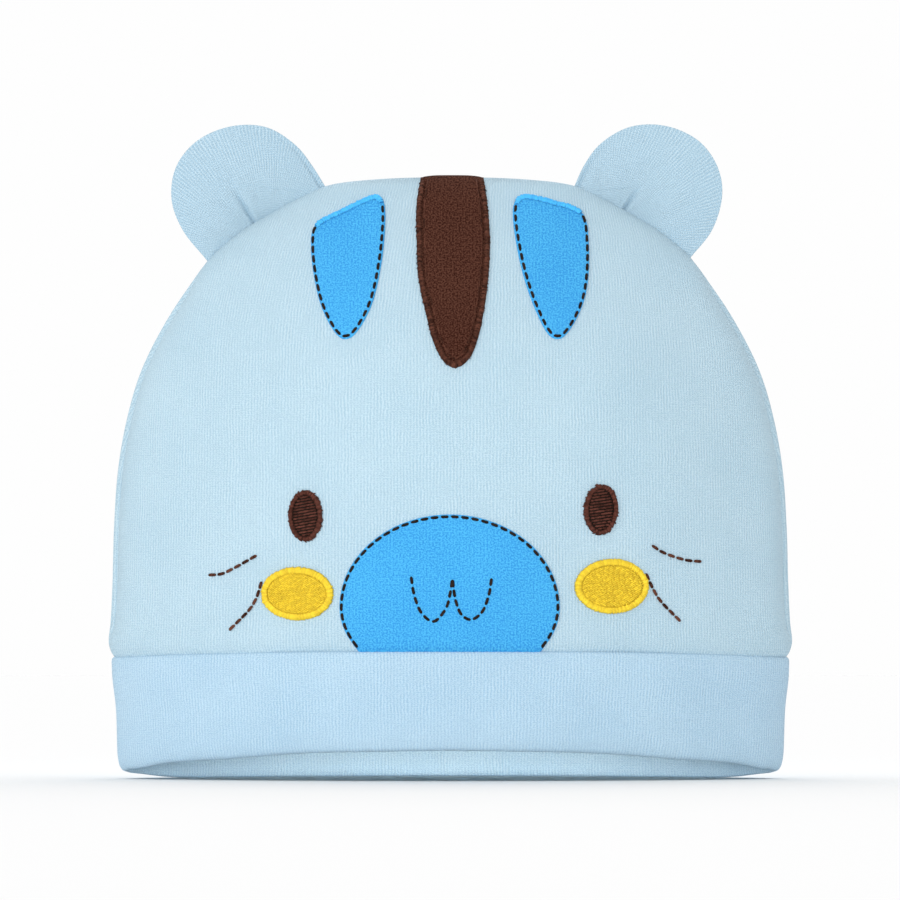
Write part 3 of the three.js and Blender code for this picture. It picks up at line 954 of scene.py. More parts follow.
# %% Pressing the ears
PLEAT_DEPTH, PLEAT_FOOT_WIDTH, PLEAT_OPENING, PLEAT_FADE = 1.8, 0.3, 0.05, 1.4
LIP_SHARE, LIP_PLACE, LIP_WIDTH = 0.1, 3, 1.6        # of the pleat's depth, and of its width
EAR_SEAM_INSET, EAR_SEAM_DEPTH, EAR_SEAM_WIDTH, EAR_SEAM_REACH = 1.2, 0.8, 0.35, 14
FAN_BEHIND, FAN_RADIUS = 9, 31
FRONT_LAYER = -0.1           # a point further forward than this is in the front layer


def press(points, ear, from_edge, along_edge):
    """Presses the pleat and the rim's seam line into the front layer of an ear."""
    foot = np.array(ear["pleat_foot"])
    run = np.array(ear["pleat_top"]) - foot
    length = np.hypot(*run)
    run /= length
    away = points[:, (0, 2)] - foot
    along = away @ run
    across = np.abs(away @ np.array([run[1], -run[0]]))
    width = PLEAT_FOOT_WIDTH + PLEAT_OPENING * np.maximum(0, along)
    fade = np.clip(1 - along / (PLEAT_FADE * length), 0, 1) ** 0.9
    crease = PLEAT_DEPTH * np.exp(-((across / width) ** 1.5)) * fade
    lips = LIP_SHARE * PLEAT_DEPTH * near(across - LIP_PLACE * width, LIP_WIDTH * width) * fade
    line = EAR_SEAM_DEPTH * near(from_edge - EAR_SEAM_INSET, EAR_SEAM_WIDTH)
    line *= near(along_edge, EAR_SEAM_REACH)
    front = points[:, 1] < FRONT_LAYER
    moved = points.copy()
    moved[:, 1] += np.where(front, crease - lips + line, 0)
    return moved


def ear_map(points, ear):
    """The wales fan out from a point behind the pleat's foot."""
    foot, top = np.array(ear["pleat_foot"]), np.array(ear["pleat_top"])
    run = (top - foot) / np.hypot(*(top - foot))
    away = points[:, (0, 2)] - (foot - run * FAN_BEHIND)
    angle = np.arctan2(away @ np.array([run[1], -run[0]]), away @ run)
    return np.stack([angle * FAN_RADIUS, np.hypot(*away.T)], -1)


# %% [markdown]
# ## The two ears
# Each ear starts as a slab made from a disc, whose rim is drawn out to the ear's outline and which
# is a little thicker inside than at the rim, so the pressure has a side to push on. How far a point
# may move in the simulation is capped, which keeps the crown of the pad even.

# %% The ears
EAR_AROUND, EAR_RINGS, EAR_CROWDING = 132, 26, 1.3
EAR_START, EAR_START_REACH, EAR_CAP = 1.2, 3.0, 4.0
EAR_FORWARD = 2.1


def nearest_place(line, flat, step=0.2):
    """How far each flat point is from a line, and the place on the line nearest to it."""
    places = np.arange(0, line.length, step)
    tree = KDTree(len(places))
    for index, (x, z) in enumerate(line.at(places)):
        tree.insert((x, 0, z), index)
    tree.balance()
    found = [tree.find((x, 0, z)) for x, z in flat]
    return np.array([hit[2] for hit in found]), places[[hit[1] for hit in found]]


def ear_piece(side, ear):
    edge = ear_edge(ear)
    mesh = disc(EAR_AROUND, EAR_RINGS)
    double(mesh)
    x, y, layer = coordinates(mesh).T
    share = 1 - (1 - np.minimum(1, np.hypot(x, y))) ** EAR_CROWDING
    centre = np.array(ear["centre"])
    rim = edge.at((np.arctan2(y, x) / math.tau % 1) * edge.length)
    flat = centre + (rim - centre) * share[:, None]
    inside = np.linalg.norm(rim - flat, axis=1) > 1e-3
    from_edge, _ = nearest_place(edge, flat)
    half = np.where(inside, EAR_START * (1 - np.exp(-from_edge / EAR_START_REACH)), 0)
    points = np.stack([flat[:, 0], np.where(layer < -0.5, half, -half), flat[:, 1]], -1)
    move_to(mesh, points)
    bmesh.ops.remove_doubles(mesh, verts=mesh.verts, dist=1e-3)
    bmesh.ops.recalc_face_normals(mesh, faces=mesh.faces)
    mesh.verts.index_update()
    start = coordinates(mesh)
    held = [i for i, point in enumerate(start) if abs(point[1]) < 1e-4]
    step = simulate(mesh, held) - start
    length = np.linalg.norm(step, axis=1, keepdims=True)
    move_to(mesh, start + step * np.minimum(1, EAR_CAP / np.maximum(length, 1e-9)))
    mesh = subdivided(mesh)
    points = coordinates(mesh)
    print("ear", side, "half thickness", round(float(np.abs(points[:, 1]).max()), 2))
    pressed = press(points, ear, *nearest_place(edge, points[:, (0, 2)]))
    pressed[:, 1] += LEAN_BACK * pressed[:, 2] / CROWN_TOP - MIDDLE_SHIFT - EAR_FORWARD
    write_map(mesh, ear_map(points, ear))
    move_to(mesh, pressed)
    piece = finish_piece(mesh, f"ear_{side}_pad", "ear_knit")
    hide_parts(f"ear_{side}")


for side, ear in EARS.items():
    ear_piece(side, ear)

# %% [markdown]
# ## The patches
# The muzzle, the stripes and the cheeks are cut from cloth and sewn flat on the front panel. A
# patch starts as a disc, whose rim is drawn out to the patch's outline and whose rings lie closer
# together near it. The outer face rises from the rim as cloth of its thickness does, and the
# stitches pull it down a little where they go in.

# %% Patches
PATCH_GAP, PATCH_RISE, PATCH_EDGE = 0.06, 0.55, 0.28
EDGE_THICKNESS = 0.12        # of a patch at its cut rim
STITCH_PULL, PULL_REACH = 0.2, 0.7
RING_CROWDING = 2.2
STITCH_INSET, STITCH_LENGTH, STITCH_PERIOD = 0.62, 2.0, 2.6


def patch_points(x, z, layer, from_edge, pulled, rise=PATCH_RISE):
    """Places on a patch: its outer face where layer is 0, and its inner face where it is -1. Pulled
    says by how much its stitches hold the outer face down."""
    thick = EDGE_THICKNESS + rise * (1 - np.exp(-from_edge / PATCH_EDGE)) - pulled
    return onto_front(x, z, np.where(layer < -0.5, PATCH_GAP, PATCH_GAP + thick))


def ring_patch(name, edge, centre, slot, finish=None, around=220, rings=26, rise=PATCH_RISE):
    """A patch inside a closed outline."""
    mesh = disc(around, rings)
    double(mesh)
    x, y, layer = coordinates(mesh).T
    share = 1 - (1 - np.minimum(1, np.hypot(x, y))) ** RING_CROWDING
    along_edge = (np.arctan2(y, x) / math.tau % 1) * edge.length
    rim = edge.at(along_edge) - centre
    flat = centre + rim * share[:, None]
    from_edge = (1 - share) * np.linalg.norm(rim, axis=1)
    stitched = 0.5 + 0.5 * np.cos(along_edge / STITCH_PERIOD * math.tau)
    pulled = STITCH_PULL * stitched * near(from_edge - STITCH_INSET, PULL_REACH)
    write_map(mesh, flat)
    move_to(mesh, patch_points(*flat.T, layer, from_edge, pulled, rise))
    return finish_piece(mesh, name, slot, finish)


def lay_on_crown(edge):
    """Works out where a patch's outline lies on the flat front panel, across and up. Nothing is
    kept or returned."""
    distance = distance_at_height(FRONT, edge.points[:, 1])
    turn = np.arcsin(np.clip(edge.points[:, 0] / SIZES[FRONT].at(distance)[:, 0], -1, 1))
    across = level_lengths(FRONT, distance, turn)
    up = np.interp(distance, PANEL_STEPS[FRONT], middle_lengths(FRONT))


# %% [markdown]
# ## Threads
# Dashes, satin borders and filled embroidery are all short stretches of thread side by side. One
# thread is a cylinder cut into short lengths, and a spin that only shifts, with no turning,
# repeats it in a row. Then each thread is laid along its own path on the cap, sinks in at both
# ends and stands up in its middle.

# %% Laying threads
SPACING = 4
THREAD_SIDES = 7
THREAD_END, PATH_STEP = 0.25, 0.03


def thread_row(count, cuts):
    """Threads side by side: thread i lies along Y from 0 to 1 at X = SPACING * i, with radius 1."""
    mesh = bmesh.new()
    bmesh.ops.create_cone(mesh, cap_ends=True, segments=THREAD_SIDES, radius1=1, radius2=1, depth=1)
    long_edges = [edge for edge in mesh.edges if abs(edge.verts[0].co.z - edge.verts[1].co.z) > 0.5]
    bmesh.ops.subdivide_edges(mesh, edges=long_edges, cuts=cuts)
    bmesh.ops.rotate(mesh, matrix=Matrix.Rotation(-math.pi / 2, 3, "X"), verts=mesh.verts)
    bmesh.ops.translate(mesh, vec=(0, 0.5, 0), verts=mesh.verts)
    everything = mesh.verts[:] + mesh.edges[:] + mesh.faces[:]
    bmesh.ops.spin(mesh, geom=everything, axis=(0, 0, 1), dvec=(SPACING, 0, 0), angle=0,
                   steps=count - 1, use_duplicate=True)
    return mesh


def lay_threads(name, count, path, slot, finish, width, height, lift, arch=0.0, cuts=5, blunt=6):
    """Lays count threads: path(i, t) gives x and z, with t running from 0 to 1 along thread i."""
    mesh = thread_row(count, cuts)
    x, t, up = coordinates(mesh).T
    index = np.clip(np.round(x / SPACING).astype(int), 0, count - 1)
    across = x - SPACING * index
    here = path(index, t)
    ahead = path(index, t + PATH_STEP) - path(index, t - PATH_STEP)
    ahead /= np.maximum(1e-9, np.linalg.norm(ahead, axis=1, keepdims=True))
    taper = np.sqrt(np.clip(1 - np.abs(2 * t - 1) ** blunt, THREAD_END, 1))
    flat = here + np.stack([ahead[:, 1], -ahead[:, 0]], -1) * (across * width / 2 * taper)[:, None]
    middle = 1 - (2 * t - 1) ** 2
    rise = lift(index, t) if callable(lift) else lift
    offset = rise + arch * middle + up * height / 2 * taper
    turn = np.arctan2(across, up) / math.tau
    length = np.linalg.norm(path(index, np.ones(len(t))) - path(index, np.zeros(len(t))), axis=1)
    write_map(mesh, np.stack([index + 0.5 + turn, t * length], -1))
    move_to(mesh, onto_front(flat[:, 0], flat[:, 1], offset))
    return finish_piece(mesh, name, slot, finish, merge=1e-6)


# %% [markdown]
# ## Running stitches and satin borders
# Running stitches are threads laid end to end along a line, with a gap between them. A satin border
# is the other way round: its threads lie across the line, close together, and no two of them start
# or end at quite the same place. Seeded random numbers give that unevenness, so the border comes
# out the same each time.

# %% Dashes and satin
DASH_ARCH, DASH_BLUNT = 0.12, 9
SATIN_RISE = PATCH_RISE + EDGE_THICKNESS     # above the crown at a border's inner edge
SATIN_HEIGHT, SATIN_OVERLAP, SINK_REACH = 0.34, 1.25, 4
OUTER_SHIFT, INNER_UNEVEN, SLANT_UNEVEN = -0.05, 0.07, 0.05


def dashes(name, line, start, end, slot, finish, lift, width=0.78, height=0.4,
           length=STITCH_LENGTH, period=STITCH_PERIOD):
    """Running stitches along a line, from one distance on it to another."""
    count = max(2, round((end - start) / period))
    step = (end - start) / count

    def path(index, t):
        return line.at(start + step * (index + 0.5) + (t - 0.5) * length)

    return lay_threads(name, count, path, slot, finish, width, height, lift, DASH_ARCH,
                       blunt=DASH_BLUNT)


def satin(name, line, start, end, band_width, slot, finish, seed, arch=0.4, pitch=0.34,
          rise=SATIN_RISE, sink=0.0, uneven=0.1):
    """A border of threads lying across it. The line is the border's outer edge, inside to its left.
    Its threads rise from the crown onto the cloth, and its first and last ones sink by some mm."""
    count = round((end - start) / pitch)
    ragged = np.random.default_rng(seed)
    outside = ragged.normal(OUTER_SHIFT, uneven, count)
    inside = ragged.normal(0, INNER_UNEVEN, count)
    slant = ragged.normal(0, SLANT_UNEVEN, count)
    step = (end - start) / count

    def path(index, t):
        place = start + step * (index + 0.5)
        outer = line.at(place)
        direction = line.direction(place)
        inwards = np.stack([-direction[:, 1], direction[:, 0]], -1)
        reach = outside[index] + (band_width + inside[index] - outside[index]) * t
        return outer + inwards * reach[:, None] + direction * (slant[index] * t)[:, None]

    def lift(index, t):
        from_end = np.minimum(index, count - 1 - index)
        onto_cloth = EDGE_THICKNESS + rise * (1 - np.exp(-t * band_width / PATCH_EDGE))
        return onto_cloth - sink * np.exp(-from_end / SINK_REACH)

    return lay_threads(name, count, path, slot, finish, step * SATIN_OVERLAP, SATIN_HEIGHT, lift,
                       arch, cuts=6)


def offset_line(line, inwards):
    """A closed or open line moved to its left."""
    places = np.linspace(0, line.length, len(line.points))
    direction = line.direction(places, small=0.4)
    return Line(line.at(places) + np.stack([-direction[:, 1], direction[:, 0]], -1) * inwards)


# %% [markdown]
# ## The muzzle
# The muzzle is a half oval of bright blue jersey that ends in the band's seam. Its outline is an
# oval whose lower part is folded up to the cut, so both corners there come out sharp. Black
# running stitches go round its free edge, and two rows of them make the mouth.

# %% The muzzle
MUZZLE = {"x": -0.2, "z": 44.1, "half_width": 28.1, "above": 23.8, "below": 20.3, "cut": 32.8}


def muzzle_edge():
    """The half oval: its corners at the cut are drawn along the seam."""
    angle = np.linspace(0, math.tau, STEPS_ROUND)
    rise = np.sin(angle)
    z = MUZZLE["z"] + rise * np.where(rise > 0, MUZZLE["above"], MUZZLE["below"])
    x = MUZZLE["x"] + MUZZLE["half_width"] * np.cos(angle)
    below = np.maximum(0, MUZZLE["cut"] - z)
    pull = (MUZZLE["z"] - MUZZLE["cut"]) / (MUZZLE["z"] - MUZZLE["cut"] + below)
    return Line(np.stack([MUZZLE["x"] + (x - MUZZLE["x"]) * pull, z + below], -1))


muzzle_outline = muzzle_edge()
muzzle_centre = np.array([MUZZLE["x"], MUZZLE["z"]])
muzzle = ring_patch("muzzle_cloth", muzzle_outline, muzzle_centre, "applique_blue", around=400,
                    rings=40)
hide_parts("muzzle")

# %% [markdown]
# ## The stitches of the muzzle
# The running stitches follow the outline a little way inside it, from the lowest point once round
# and up to it again, and only those above the cut are kept. The mouth is two curves that meet in
# the middle, with the same stitches.

# %% The stitches of the muzzle and the mouth
LOWEST = 0.75            # of the way round, where the outline is lowest
PATH_SAMPLE = 0.1
LAST_STITCH_ABOVE_CUT = 0.7
STITCH_LIFT = 0.55
MOUTH_LIFT = PATCH_RISE + 0.2
MOUTH = {
    "left": [(-10.0, 52.3), (-9.1, 47.0), (-7.2, 42.4), (-4.3, 40.3), (-1.2, 43.6), (-0.1, 47.4),
             (0.5, 51.4)],
    "right": [(0.5, 51.4), (1.4, 45.5), (2.9, 42.0), (5.1, 40.8), (7.7, 42.4), (9.6, 46.7),
              (10.5, 51.8)],
}

muzzle_path = offset_line(muzzle_outline, STITCH_INSET)
twice_round = Line(np.vstack([muzzle_path.points[:-1], muzzle_path.points]))
places = np.arange(muzzle_path.length * LOWEST, muzzle_path.length * (LOWEST + 1), PATH_SAMPLE)
path_points = twice_round.at(places)
stitch_path = Line(path_points[path_points[:, 1] > MUZZLE["cut"] + LAST_STITCH_ABOVE_CUT])
muzzle_threads = [dashes("muzzle_stitches", stitch_path, 0, stitch_path.length, "embroidery_dark",
                         "black_thread", STITCH_LIFT)]
for side, controls in MOUTH.items():
    mouth_line = Line(smooth_curve(controls))
    muzzle_threads.append(dashes(f"mouth_{side}", mouth_line, 0, mouth_line.length,
                                 "embroidery_dark", "black_thread", MOUTH_LIFT))
lay_on_crown(muzzle_outline)

# %% [markdown]
# ## The side stripes
# Two blue stripes have black running stitches down their sides, and a satin border over their top
# edge. Each is a smooth closed curve through some ten corners. The satin runs from one of these
# corners to another, and the running stitches take the rest of the way round.

# %% The side stripes
SIDE_STRIPES = {  # the outlines run clockwise, and the satin goes from one corner to the other
    "left": {
        "centre": (-26.2, 134.0),
        "satin": (9, 12),
        "seed": 119,
        "outline": [(-18.6, 150.9), (-17.2, 149.0), (-16.8, 145.8), (-17.6, 133.7), (-20.6, 120.8),
                    (-25.4, 113.5), (-28.0, 113.3), (-33.0, 121.2), (-36.0, 137.5), (-35.1, 143.1),
                    (-28.6, 147.0)],
    },
    "right": {
        "centre": (26.5, 134.0),
        "satin": (-1, 2),
        "seed": 124,
        "outline": [(18.3, 150.9), (26.2, 149.7), (34.1, 146.6), (35.8, 138.0), (34.2, 122.6),
                    (28.5, 113.3), (25.9, 113.5), (21.6, 121.1), (17.5, 135.1), (16.4, 148.6)],
    },
}
STRIPE_SATIN = 1.4


def side_stripe(side, stripe):
    corners = np.array(stripe["outline"])
    count = len(corners)
    edge = Line(smooth_curve(corners[::-1], closed=True))
    cloth = ring_patch(f"stripe_{side}_cloth", edge, np.array(stripe["centre"]), "applique_blue")
    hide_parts(f"stripe_{side}")

    def place(corner):
        return edge.distance[(count - 1 - corner) % count * CURVE_STEPS]

    twice = Line(np.vstack([edge.points[:-1], edge.points]))
    first, last = place(stripe["satin"][1] % count), place(stripe["satin"][0] % count)
    last += edge.length if last < first else 0
    border = satin(f"stripe_{side}_satin", twice, first, last, STRIPE_SATIN, "applique_blue",
                   "blue_thread", stripe["seed"])
    inner = offset_line(twice, STITCH_INSET)
    share = inner.length / twice.length
    stitches = dashes(f"stripe_{side}_stitches", inner, last * share, (first + edge.length) * share,
                      "embroidery_dark", "black_thread", STITCH_LIFT)
    lay_on_crown(edge)


for side, stripe in SIDE_STRIPES.items():
    side_stripe(side, stripe)

# %% [markdown]
# ## The brown stripe in the middle
# The brown stripe has a satin border down both sides and round its point, and its top is caught in
# the top seam. It is a grid and not a disc, because its two sides are read off at each height. A
# row of small stitches inside the border presses a fine line into the cloth.

# %% The centre stripe
CENTRE_STRIPE = [  # height, left edge, right edge
    (105.5, 0.6, 1.5),
    (106.4, -1.0, 3.3),
    (108.4, -2.6, 5.2),
    (112.3, -4.4, 6.8),
    (119.2, -6.2, 8.4),
    (128.9, -8.2, 9.7),
    (139.1, -8.7, 10.2),
    (147.4, -8.8, 9.7),
    (CROWN_TOP, -7.7, 8.6),
]
CENTRE_SATIN, CENTRE_SEAM = 1.35, 2.1
SATIN_TRIM, SEAM_TRIM = 1.4, 1.0         # the rows stop short of the top seam by this
POINT_SLOPE, POINT_EDGE = 0.6, 0.4
NEEDLE_LINE, NEEDLE_DEPTH, NEEDLE_WIDTH = 1.55, 0.4, 0.25
TOP_REACH, TOP_PRESSED, CORNER_PRESSED, CORNER_REACH = 1.2, 0.2, 0.45, 5
CENTRE_COLUMNS, CENTRE_ROWS = 84, 150
TOP_CROWDING = 1.6

left_edge = smooth_curve([(x, z) for z, x, _ in CENTRE_STRIPE])
right_edge = smooth_curve([(x, z) for z, _, x in CENTRE_STRIPE])


def top_seam_height(x):
    """The height of the crown's top seam over a distance from its middle."""
    line = SIZES[FRONT]
    rising = line.distance <= HALF_OUTLINE[FRONT]
    return np.interp(-np.abs(x), -line.points[rising, 0], line.points[rising, 2])


def centre_stripe():
    mesh = grid(CENTRE_COLUMNS, CENTRE_ROWS)
    double(mesh)
    across, up, layer = coordinates(mesh).T
    bottom = CENTRE_STRIPE[0][0]
    share = 1 - (1 - up) ** TOP_CROWDING
    height = bottom + (CROWN_TOP - bottom) * share
    left = np.interp(height, left_edge[:, 1], left_edge[:, 0])
    right = np.interp(height, right_edge[:, 1], right_edge[:, 0])
    x = left + (right - left) * (0.5 - 0.5 * np.cos(across * math.pi))
    z = bottom + (top_seam_height(x) - bottom) * share
    from_point = (z - bottom) * POINT_SLOPE + POINT_EDGE
    from_edge = np.maximum(0, np.minimum(np.minimum(x - left, right - x), from_point))
    near_top = np.exp(-(top_seam_height(x) - z) / TOP_REACH)
    corner = np.maximum(0, 1 - from_edge / CORNER_REACH) ** 2
    needle = NEEDLE_DEPTH * near(from_edge - NEEDLE_LINE, NEEDLE_WIDTH)
    pulled = needle * (1 - near_top) + near_top * (TOP_PRESSED + CORNER_PRESSED * corner)
    write_map(mesh, np.stack([x, z], -1))
    move_to(mesh, patch_points(x, z, layer, from_edge, pulled))
    return finish_piece(mesh, "stripe_centre_cloth", "applique_brown")


stripe_centre = centre_stripe()
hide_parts("stripe_centre")
centre_rim = Line(np.vstack([left_edge[::-1], right_edge]))
centre_satin = satin("stripe_centre_satin", centre_rim, SATIN_TRIM, centre_rim.length - SATIN_TRIM,
                     CENTRE_SATIN, "applique_brown", "brown_thread", seed=3, arch=0.25, sink=0.5)
centre_seam = offset_line(centre_rim, CENTRE_SEAM)
centre_stitches = dashes("stripe_centre_stitches", centre_seam, SEAM_TRIM,
                         centre_seam.length - SEAM_TRIM, "applique_brown", "brown_thread",
                         PATCH_RISE + 0.1, width=0.35, height=0.3, length=2.5, period=2.6)
lay_on_crown(centre_rim)

# %% [markdown]
# ## Eyes and cheeks
# The eyes are embroidered: rows of thread fill the oval, and a satin border goes round them. The
# cheeks are filled the same way with closer, slanting stitches. The four ovals were sewn by hand
# and differ in place, size and tilt, so each has its own row in a table, and what a pair shares is
# written once.

# %% The ovals
OVAL_STEPS = 361
CHEEK = {"border": 1.7, "uneven": 0.07, "stitch": 1.5, "pitch": 0.42, "thread": 0.4}
EYE = {"border": 1.25, "uneven": 0.12, "stitch": 3.0, "pitch": 0.72, "thread": 0.5}
OVALS = {
    "cheek_left": {"x": -39.1, "z": 47.6, "half_width": 9.3, "half_height": 6.9, "tilt": -2,
                   "rows_tilt": 32, **CHEEK},
    "cheek_right": {"x": 41.2, "z": 49.5, "half_width": 9.5, "half_height": 7.1, "tilt": 2,
                    "rows_tilt": -28, **CHEEK},
    "eye_left": {"x": -37.0, "z": 67.6, "half_width": 4.45, "half_height": 6.6, "tilt": 0,
                 "rows_tilt": 10, **EYE},
    "eye_right": {"x": 38.4, "z": 69.2, "half_width": 4.45, "half_height": 6.6, "tilt": -3,
                  "rows_tilt": 8, **EYE},
}


def oval_edge(oval):
    angle = np.linspace(0, math.tau, OVAL_STEPS)
    tilt = math.radians(oval["tilt"])
    x = oval["half_width"] * np.cos(angle)
    z = oval["half_height"] * np.sin(angle)
    turned = [x * math.cos(tilt) - z * math.sin(tilt), x * math.sin(tilt) + z * math.cos(tilt)]
    return Line(np.stack([oval["x"] + turned[0], oval["z"] + turned[1]], -1))


print({name: round(oval_edge(oval).length, 1) for name, oval in OVALS.items()}, "mm round")

# %% [markdown]
# ## The rows that fill an oval
# Each row runs from one side of the oval to the other, and is cut into stitches of about the same
# length. Every other row starts with a longer stitch, as bricks are laid, so the ends don't line up.

# %% Filling an oval
NEEDLE_GAP = 0.15        # between the border and the stitches that fill it
FIRST_STITCH, BRICK_SHIFT = 0.35, 0.5    # of a stitch
STITCH_UNEVEN = (0.85, 1.15)
SHORTEST_STITCH = 0.8


def fill_rows(oval, ragged):
    """The two ends of every stitch that fills the oval inside its border."""
    half = np.array([oval["half_width"], oval["half_height"]]) - oval["border"] - NEEDLE_GAP
    slope = math.radians(oval["rows_tilt"])
    along = np.array([math.cos(slope), math.sin(slope)])
    across = np.array([-along[1], along[0]])
    reach = math.hypot(*(half * across))
    ends = []
    rows = int(2 * reach / oval["pitch"])
    for row in range(rows):
        middle = across * (-reach + (row + 0.5) * 2 * reach / rows)
        a, b = sum((along / half) ** 2), sum(along * middle / half**2)
        root = b * b - a * (sum((middle / half) ** 2) - 1)
        if root <= 0:
            continue
        low, high = ((-b + sign * math.sqrt(root)) / a for sign in (-1, 1))
        cuts = [low]
        first = oval["stitch"] * (FIRST_STITCH + BRICK_SHIFT * (row % 2))
        cut = low + first * ragged.uniform(*STITCH_UNEVEN)
        while cut < high - SHORTEST_STITCH:
            cuts.append(cut)
            cut += oval["stitch"] * ragged.uniform(*STITCH_UNEVEN)
        cuts.append(high)
        ends += [(middle + along * p, middle + along * q) for p, q in zip(cuts, cuts[1:])]
    place = np.array([oval["x"], oval["z"]])
    starts, stops = (np.array([pair[i] for pair in ends]) for i in (0, 1))
    return starts + place, stops + place


# %% [markdown]
# ## From the rows to an eye or a cheek
# A thin base of cloth under the thread closes the gaps, and the rows stop short of the border,
# which leaves a fine dark line. The base under an eye is near black, darker than its thread, as
# painted shade in the gaps between its stitches; under a cheek it is yellow.

# %% Filled embroidery
BASE_RISE, BASE_INSET = 0.2, 0.35
FILL_LIFT, FILL_HEIGHT, FILL_ARCH = 0.5, 0.45, 0.15
BORDER_RISE, BORDER_ARCH, BORDER_PITCH = 0.45, 0.45, 0.4


def embroidered(name, oval, slot, base_or_gap_shade, seed):
    edge = oval_edge(oval)
    centre = np.array([oval["x"], oval["z"]])
    base = ring_patch(f"{name}_base", offset_line(edge, BASE_INSET), centre, slot, base_or_gap_shade,
                      around=90, rings=10, rise=BASE_RISE)
    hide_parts(name)
    starts, ends = fill_rows(oval, np.random.default_rng(seed))

    def path(index, t):
        return starts[index] + (ends - starts)[index] * np.reshape(t, (-1, 1))

    fill = lay_threads(f"{name}_fill", len(starts), path, slot, slot, oval["thread"], FILL_HEIGHT,
                       FILL_LIFT, FILL_ARCH)
    border = satin(f"{name}_border", edge, 0, edge.length, oval["border"], slot, slot, seed + 1,
                   BORDER_ARCH, BORDER_PITCH, BORDER_RISE, uneven=oval["uneven"])
    if name.startswith("cheek"):
        lay_on_crown(edge)


for seed, (name, oval) in enumerate(OVALS.items(), start=11):
    eye = name.startswith("eye")
    slot = "embroidery_dark" if eye else "applique_yellow"
    # Under an eye the base is near black, darker than the eye's own thread: painted shade in the gaps
    # between its stitches.
    embroidered(name, oval, slot, "black_thread" if eye else slot, seed * 2)

# %% [markdown]
# ## Whiskers
# Two short rows of dark brown running stitches beside each cheek go straight into the crown's
# cloth. They could be four curves with a bevel, but the same dashes as round the muzzle sink in at
# their ends, which is what makes them look sewn.

# %% Whiskers
WHISKERS = {
    "left_upper": [(-62.2, 52.5), (-58.6, 52.8), (-55.3, 54.3), (-49.4, 57.6)],
    "left_lower": [(-48.2, 50.9), (-49.5, 46.7), (-51.1, 43.9), (-56.7, 38.2)],
    "right_upper": [(51.4, 60.2), (54.0, 58.5), (57.0, 57.3), (60.7, 56.3), (64.6, 56.0)],
    "right_lower": [(49.9, 53.0), (51.6, 49.3), (53.5, 46.1), (59.0, 40.5)],
}
for name, controls in WHISKERS.items():
    whisker = Line(smooth_curve(controls))
    dashes(f"whisker_{name}", whisker, 0, whisker.length, "embroidery_dark", "brown_thread", 0.2,
           width=0.8, height=0.45, length=1.95, period=2.4)

# %% [markdown]
# ## Floor and sky
# The photograph was taken on a white ground in soft light. Its floor shadow falls forward, so the
# brightest part of the sky is overhead and a little behind the cap. The world is a plain dome that
# is bright there and dim at the horizon, and the camera sees it plain white.

# %% Floor and world
FLOOR_SIZE = 8000
FLOOR_WHITE = 0.9
WORLD_WHITE = 0.991
DOME_HORIZON, DOME_BRIGHT, DOME_TILT = 0.16, 1.83, 35

floor_mesh = bmesh.new()
bmesh.ops.create_grid(floor_mesh, x_segments=1, y_segments=1, size=FLOOR_SIZE * MM / 2)
floor_data = bpy.data.meshes.new("floor")
floor_mesh.to_mesh(floor_data)
floor_mesh.free()
floor = add_object("floor", floor_data)
floor_finish = Finish("floor")
floor_finish.shader.inputs["Base Color"].default_value = (FLOOR_WHITE,) * 3 + (1,)
floor_finish.shader.inputs["Roughness"].default_value = 1
floor_finish.shader.inputs["Specular IOR Level"].default_value = 0
floor_data.materials.append(floor_finish.material)


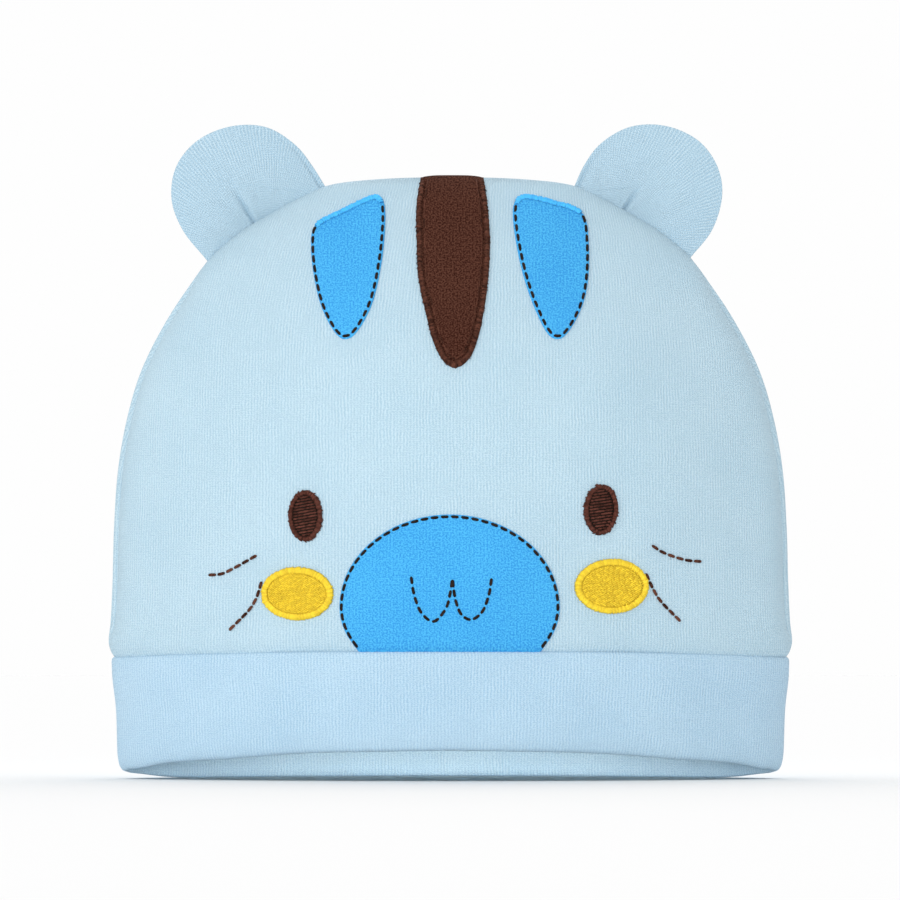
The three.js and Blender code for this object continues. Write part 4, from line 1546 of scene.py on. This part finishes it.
def light_dome():
    """A world that the camera sees white, and that lights the cap mostly from above and behind."""
    world = bpy.data.worlds.new("studio")
    world.use_nodes = True
    nodes, links = world.node_tree.nodes, world.node_tree.links
    towards = nodes.new("ShaderNodeVectorMath")
    towards.operation = "DOT_PRODUCT"
    links.new(nodes.new("ShaderNodeTexCoord").outputs["Generated"], towards.inputs[0])
    tilt = math.radians(DOME_TILT)
    towards.inputs[1].default_value = (0, math.sin(tilt), math.cos(tilt))
    dome = nodes.new("ShaderNodeMapRange")
    dome.inputs["To Min"].default_value = DOME_HORIZON
    dome.inputs["To Max"].default_value = DOME_BRIGHT
    links.new(towards.outputs["Value"], dome.inputs["Value"])
    seen = nodes.new("ShaderNodeMix")
    seen.inputs["B"].default_value = WORLD_WHITE
    links.new(nodes.new("ShaderNodeLightPath").outputs["Is Camera Ray"], seen.inputs["Factor"])
    links.new(dome.outputs["Result"], seen.inputs["A"])
    nodes["Background"].inputs["Color"].default_value = (1, 1, 1, 1)
    links.new(seen.outputs["Result"], nodes["Background"].inputs["Strength"])
    return world


bpy.context.scene.world = light_dome()
bpy.context.scene.view_settings.view_transform = "Standard"
print("the sky's strength runs from", DOME_HORIZON, "to", DOME_BRIGHT)

# %% [markdown]
# ## Lamps
# Two wide lamps light the face. They are linked to the cap alone, as flags in a studio would keep
# them off the floor. Light that comes through the thin cloth brightens the inside of a real cap,
# and a small lamp inside the cap stands for it.

# %% Lamps
lit = bpy.data.collections.new("lit_by_lamps")
for piece in bpy.context.scene.objects:
    if piece.type == "MESH" and piece != floor:
        lit.objects.link(piece)


def lamp(name, place, aim, size, watts, colour=(1, 1, 1)):
    """A rectangular lamp at a place, turned to what it aims at, that lights only the cap."""
    data = bpy.data.lights.new(name, "AREA")
    data.shape = "RECTANGLE"
    data.size, data.size_y = size[0] * MM, size[1] * MM
    data.energy = watts
    data.color = colour
    placed = add_object(name, data)
    placed.location = Vector(place) * MM
    placed.rotation_euler = (Vector(place) - Vector(aim)).to_track_quat("Z", "Y").to_euler()
    placed.light_linking.receiver_collection = lit
    placed.visible_camera = False


lamp("front_lamp", (0, -2200, 150), (0, 0, 80), (1500, 300), 27)
lamp("left_lamp", (-1300, -1600, 600), (0, 0, 80), (800, 800), 11)
lamp("inner_lamp", (0, -21, 32), (0, 28, 5), (84, 22), 0.043, (1, 0.94, 0.86))
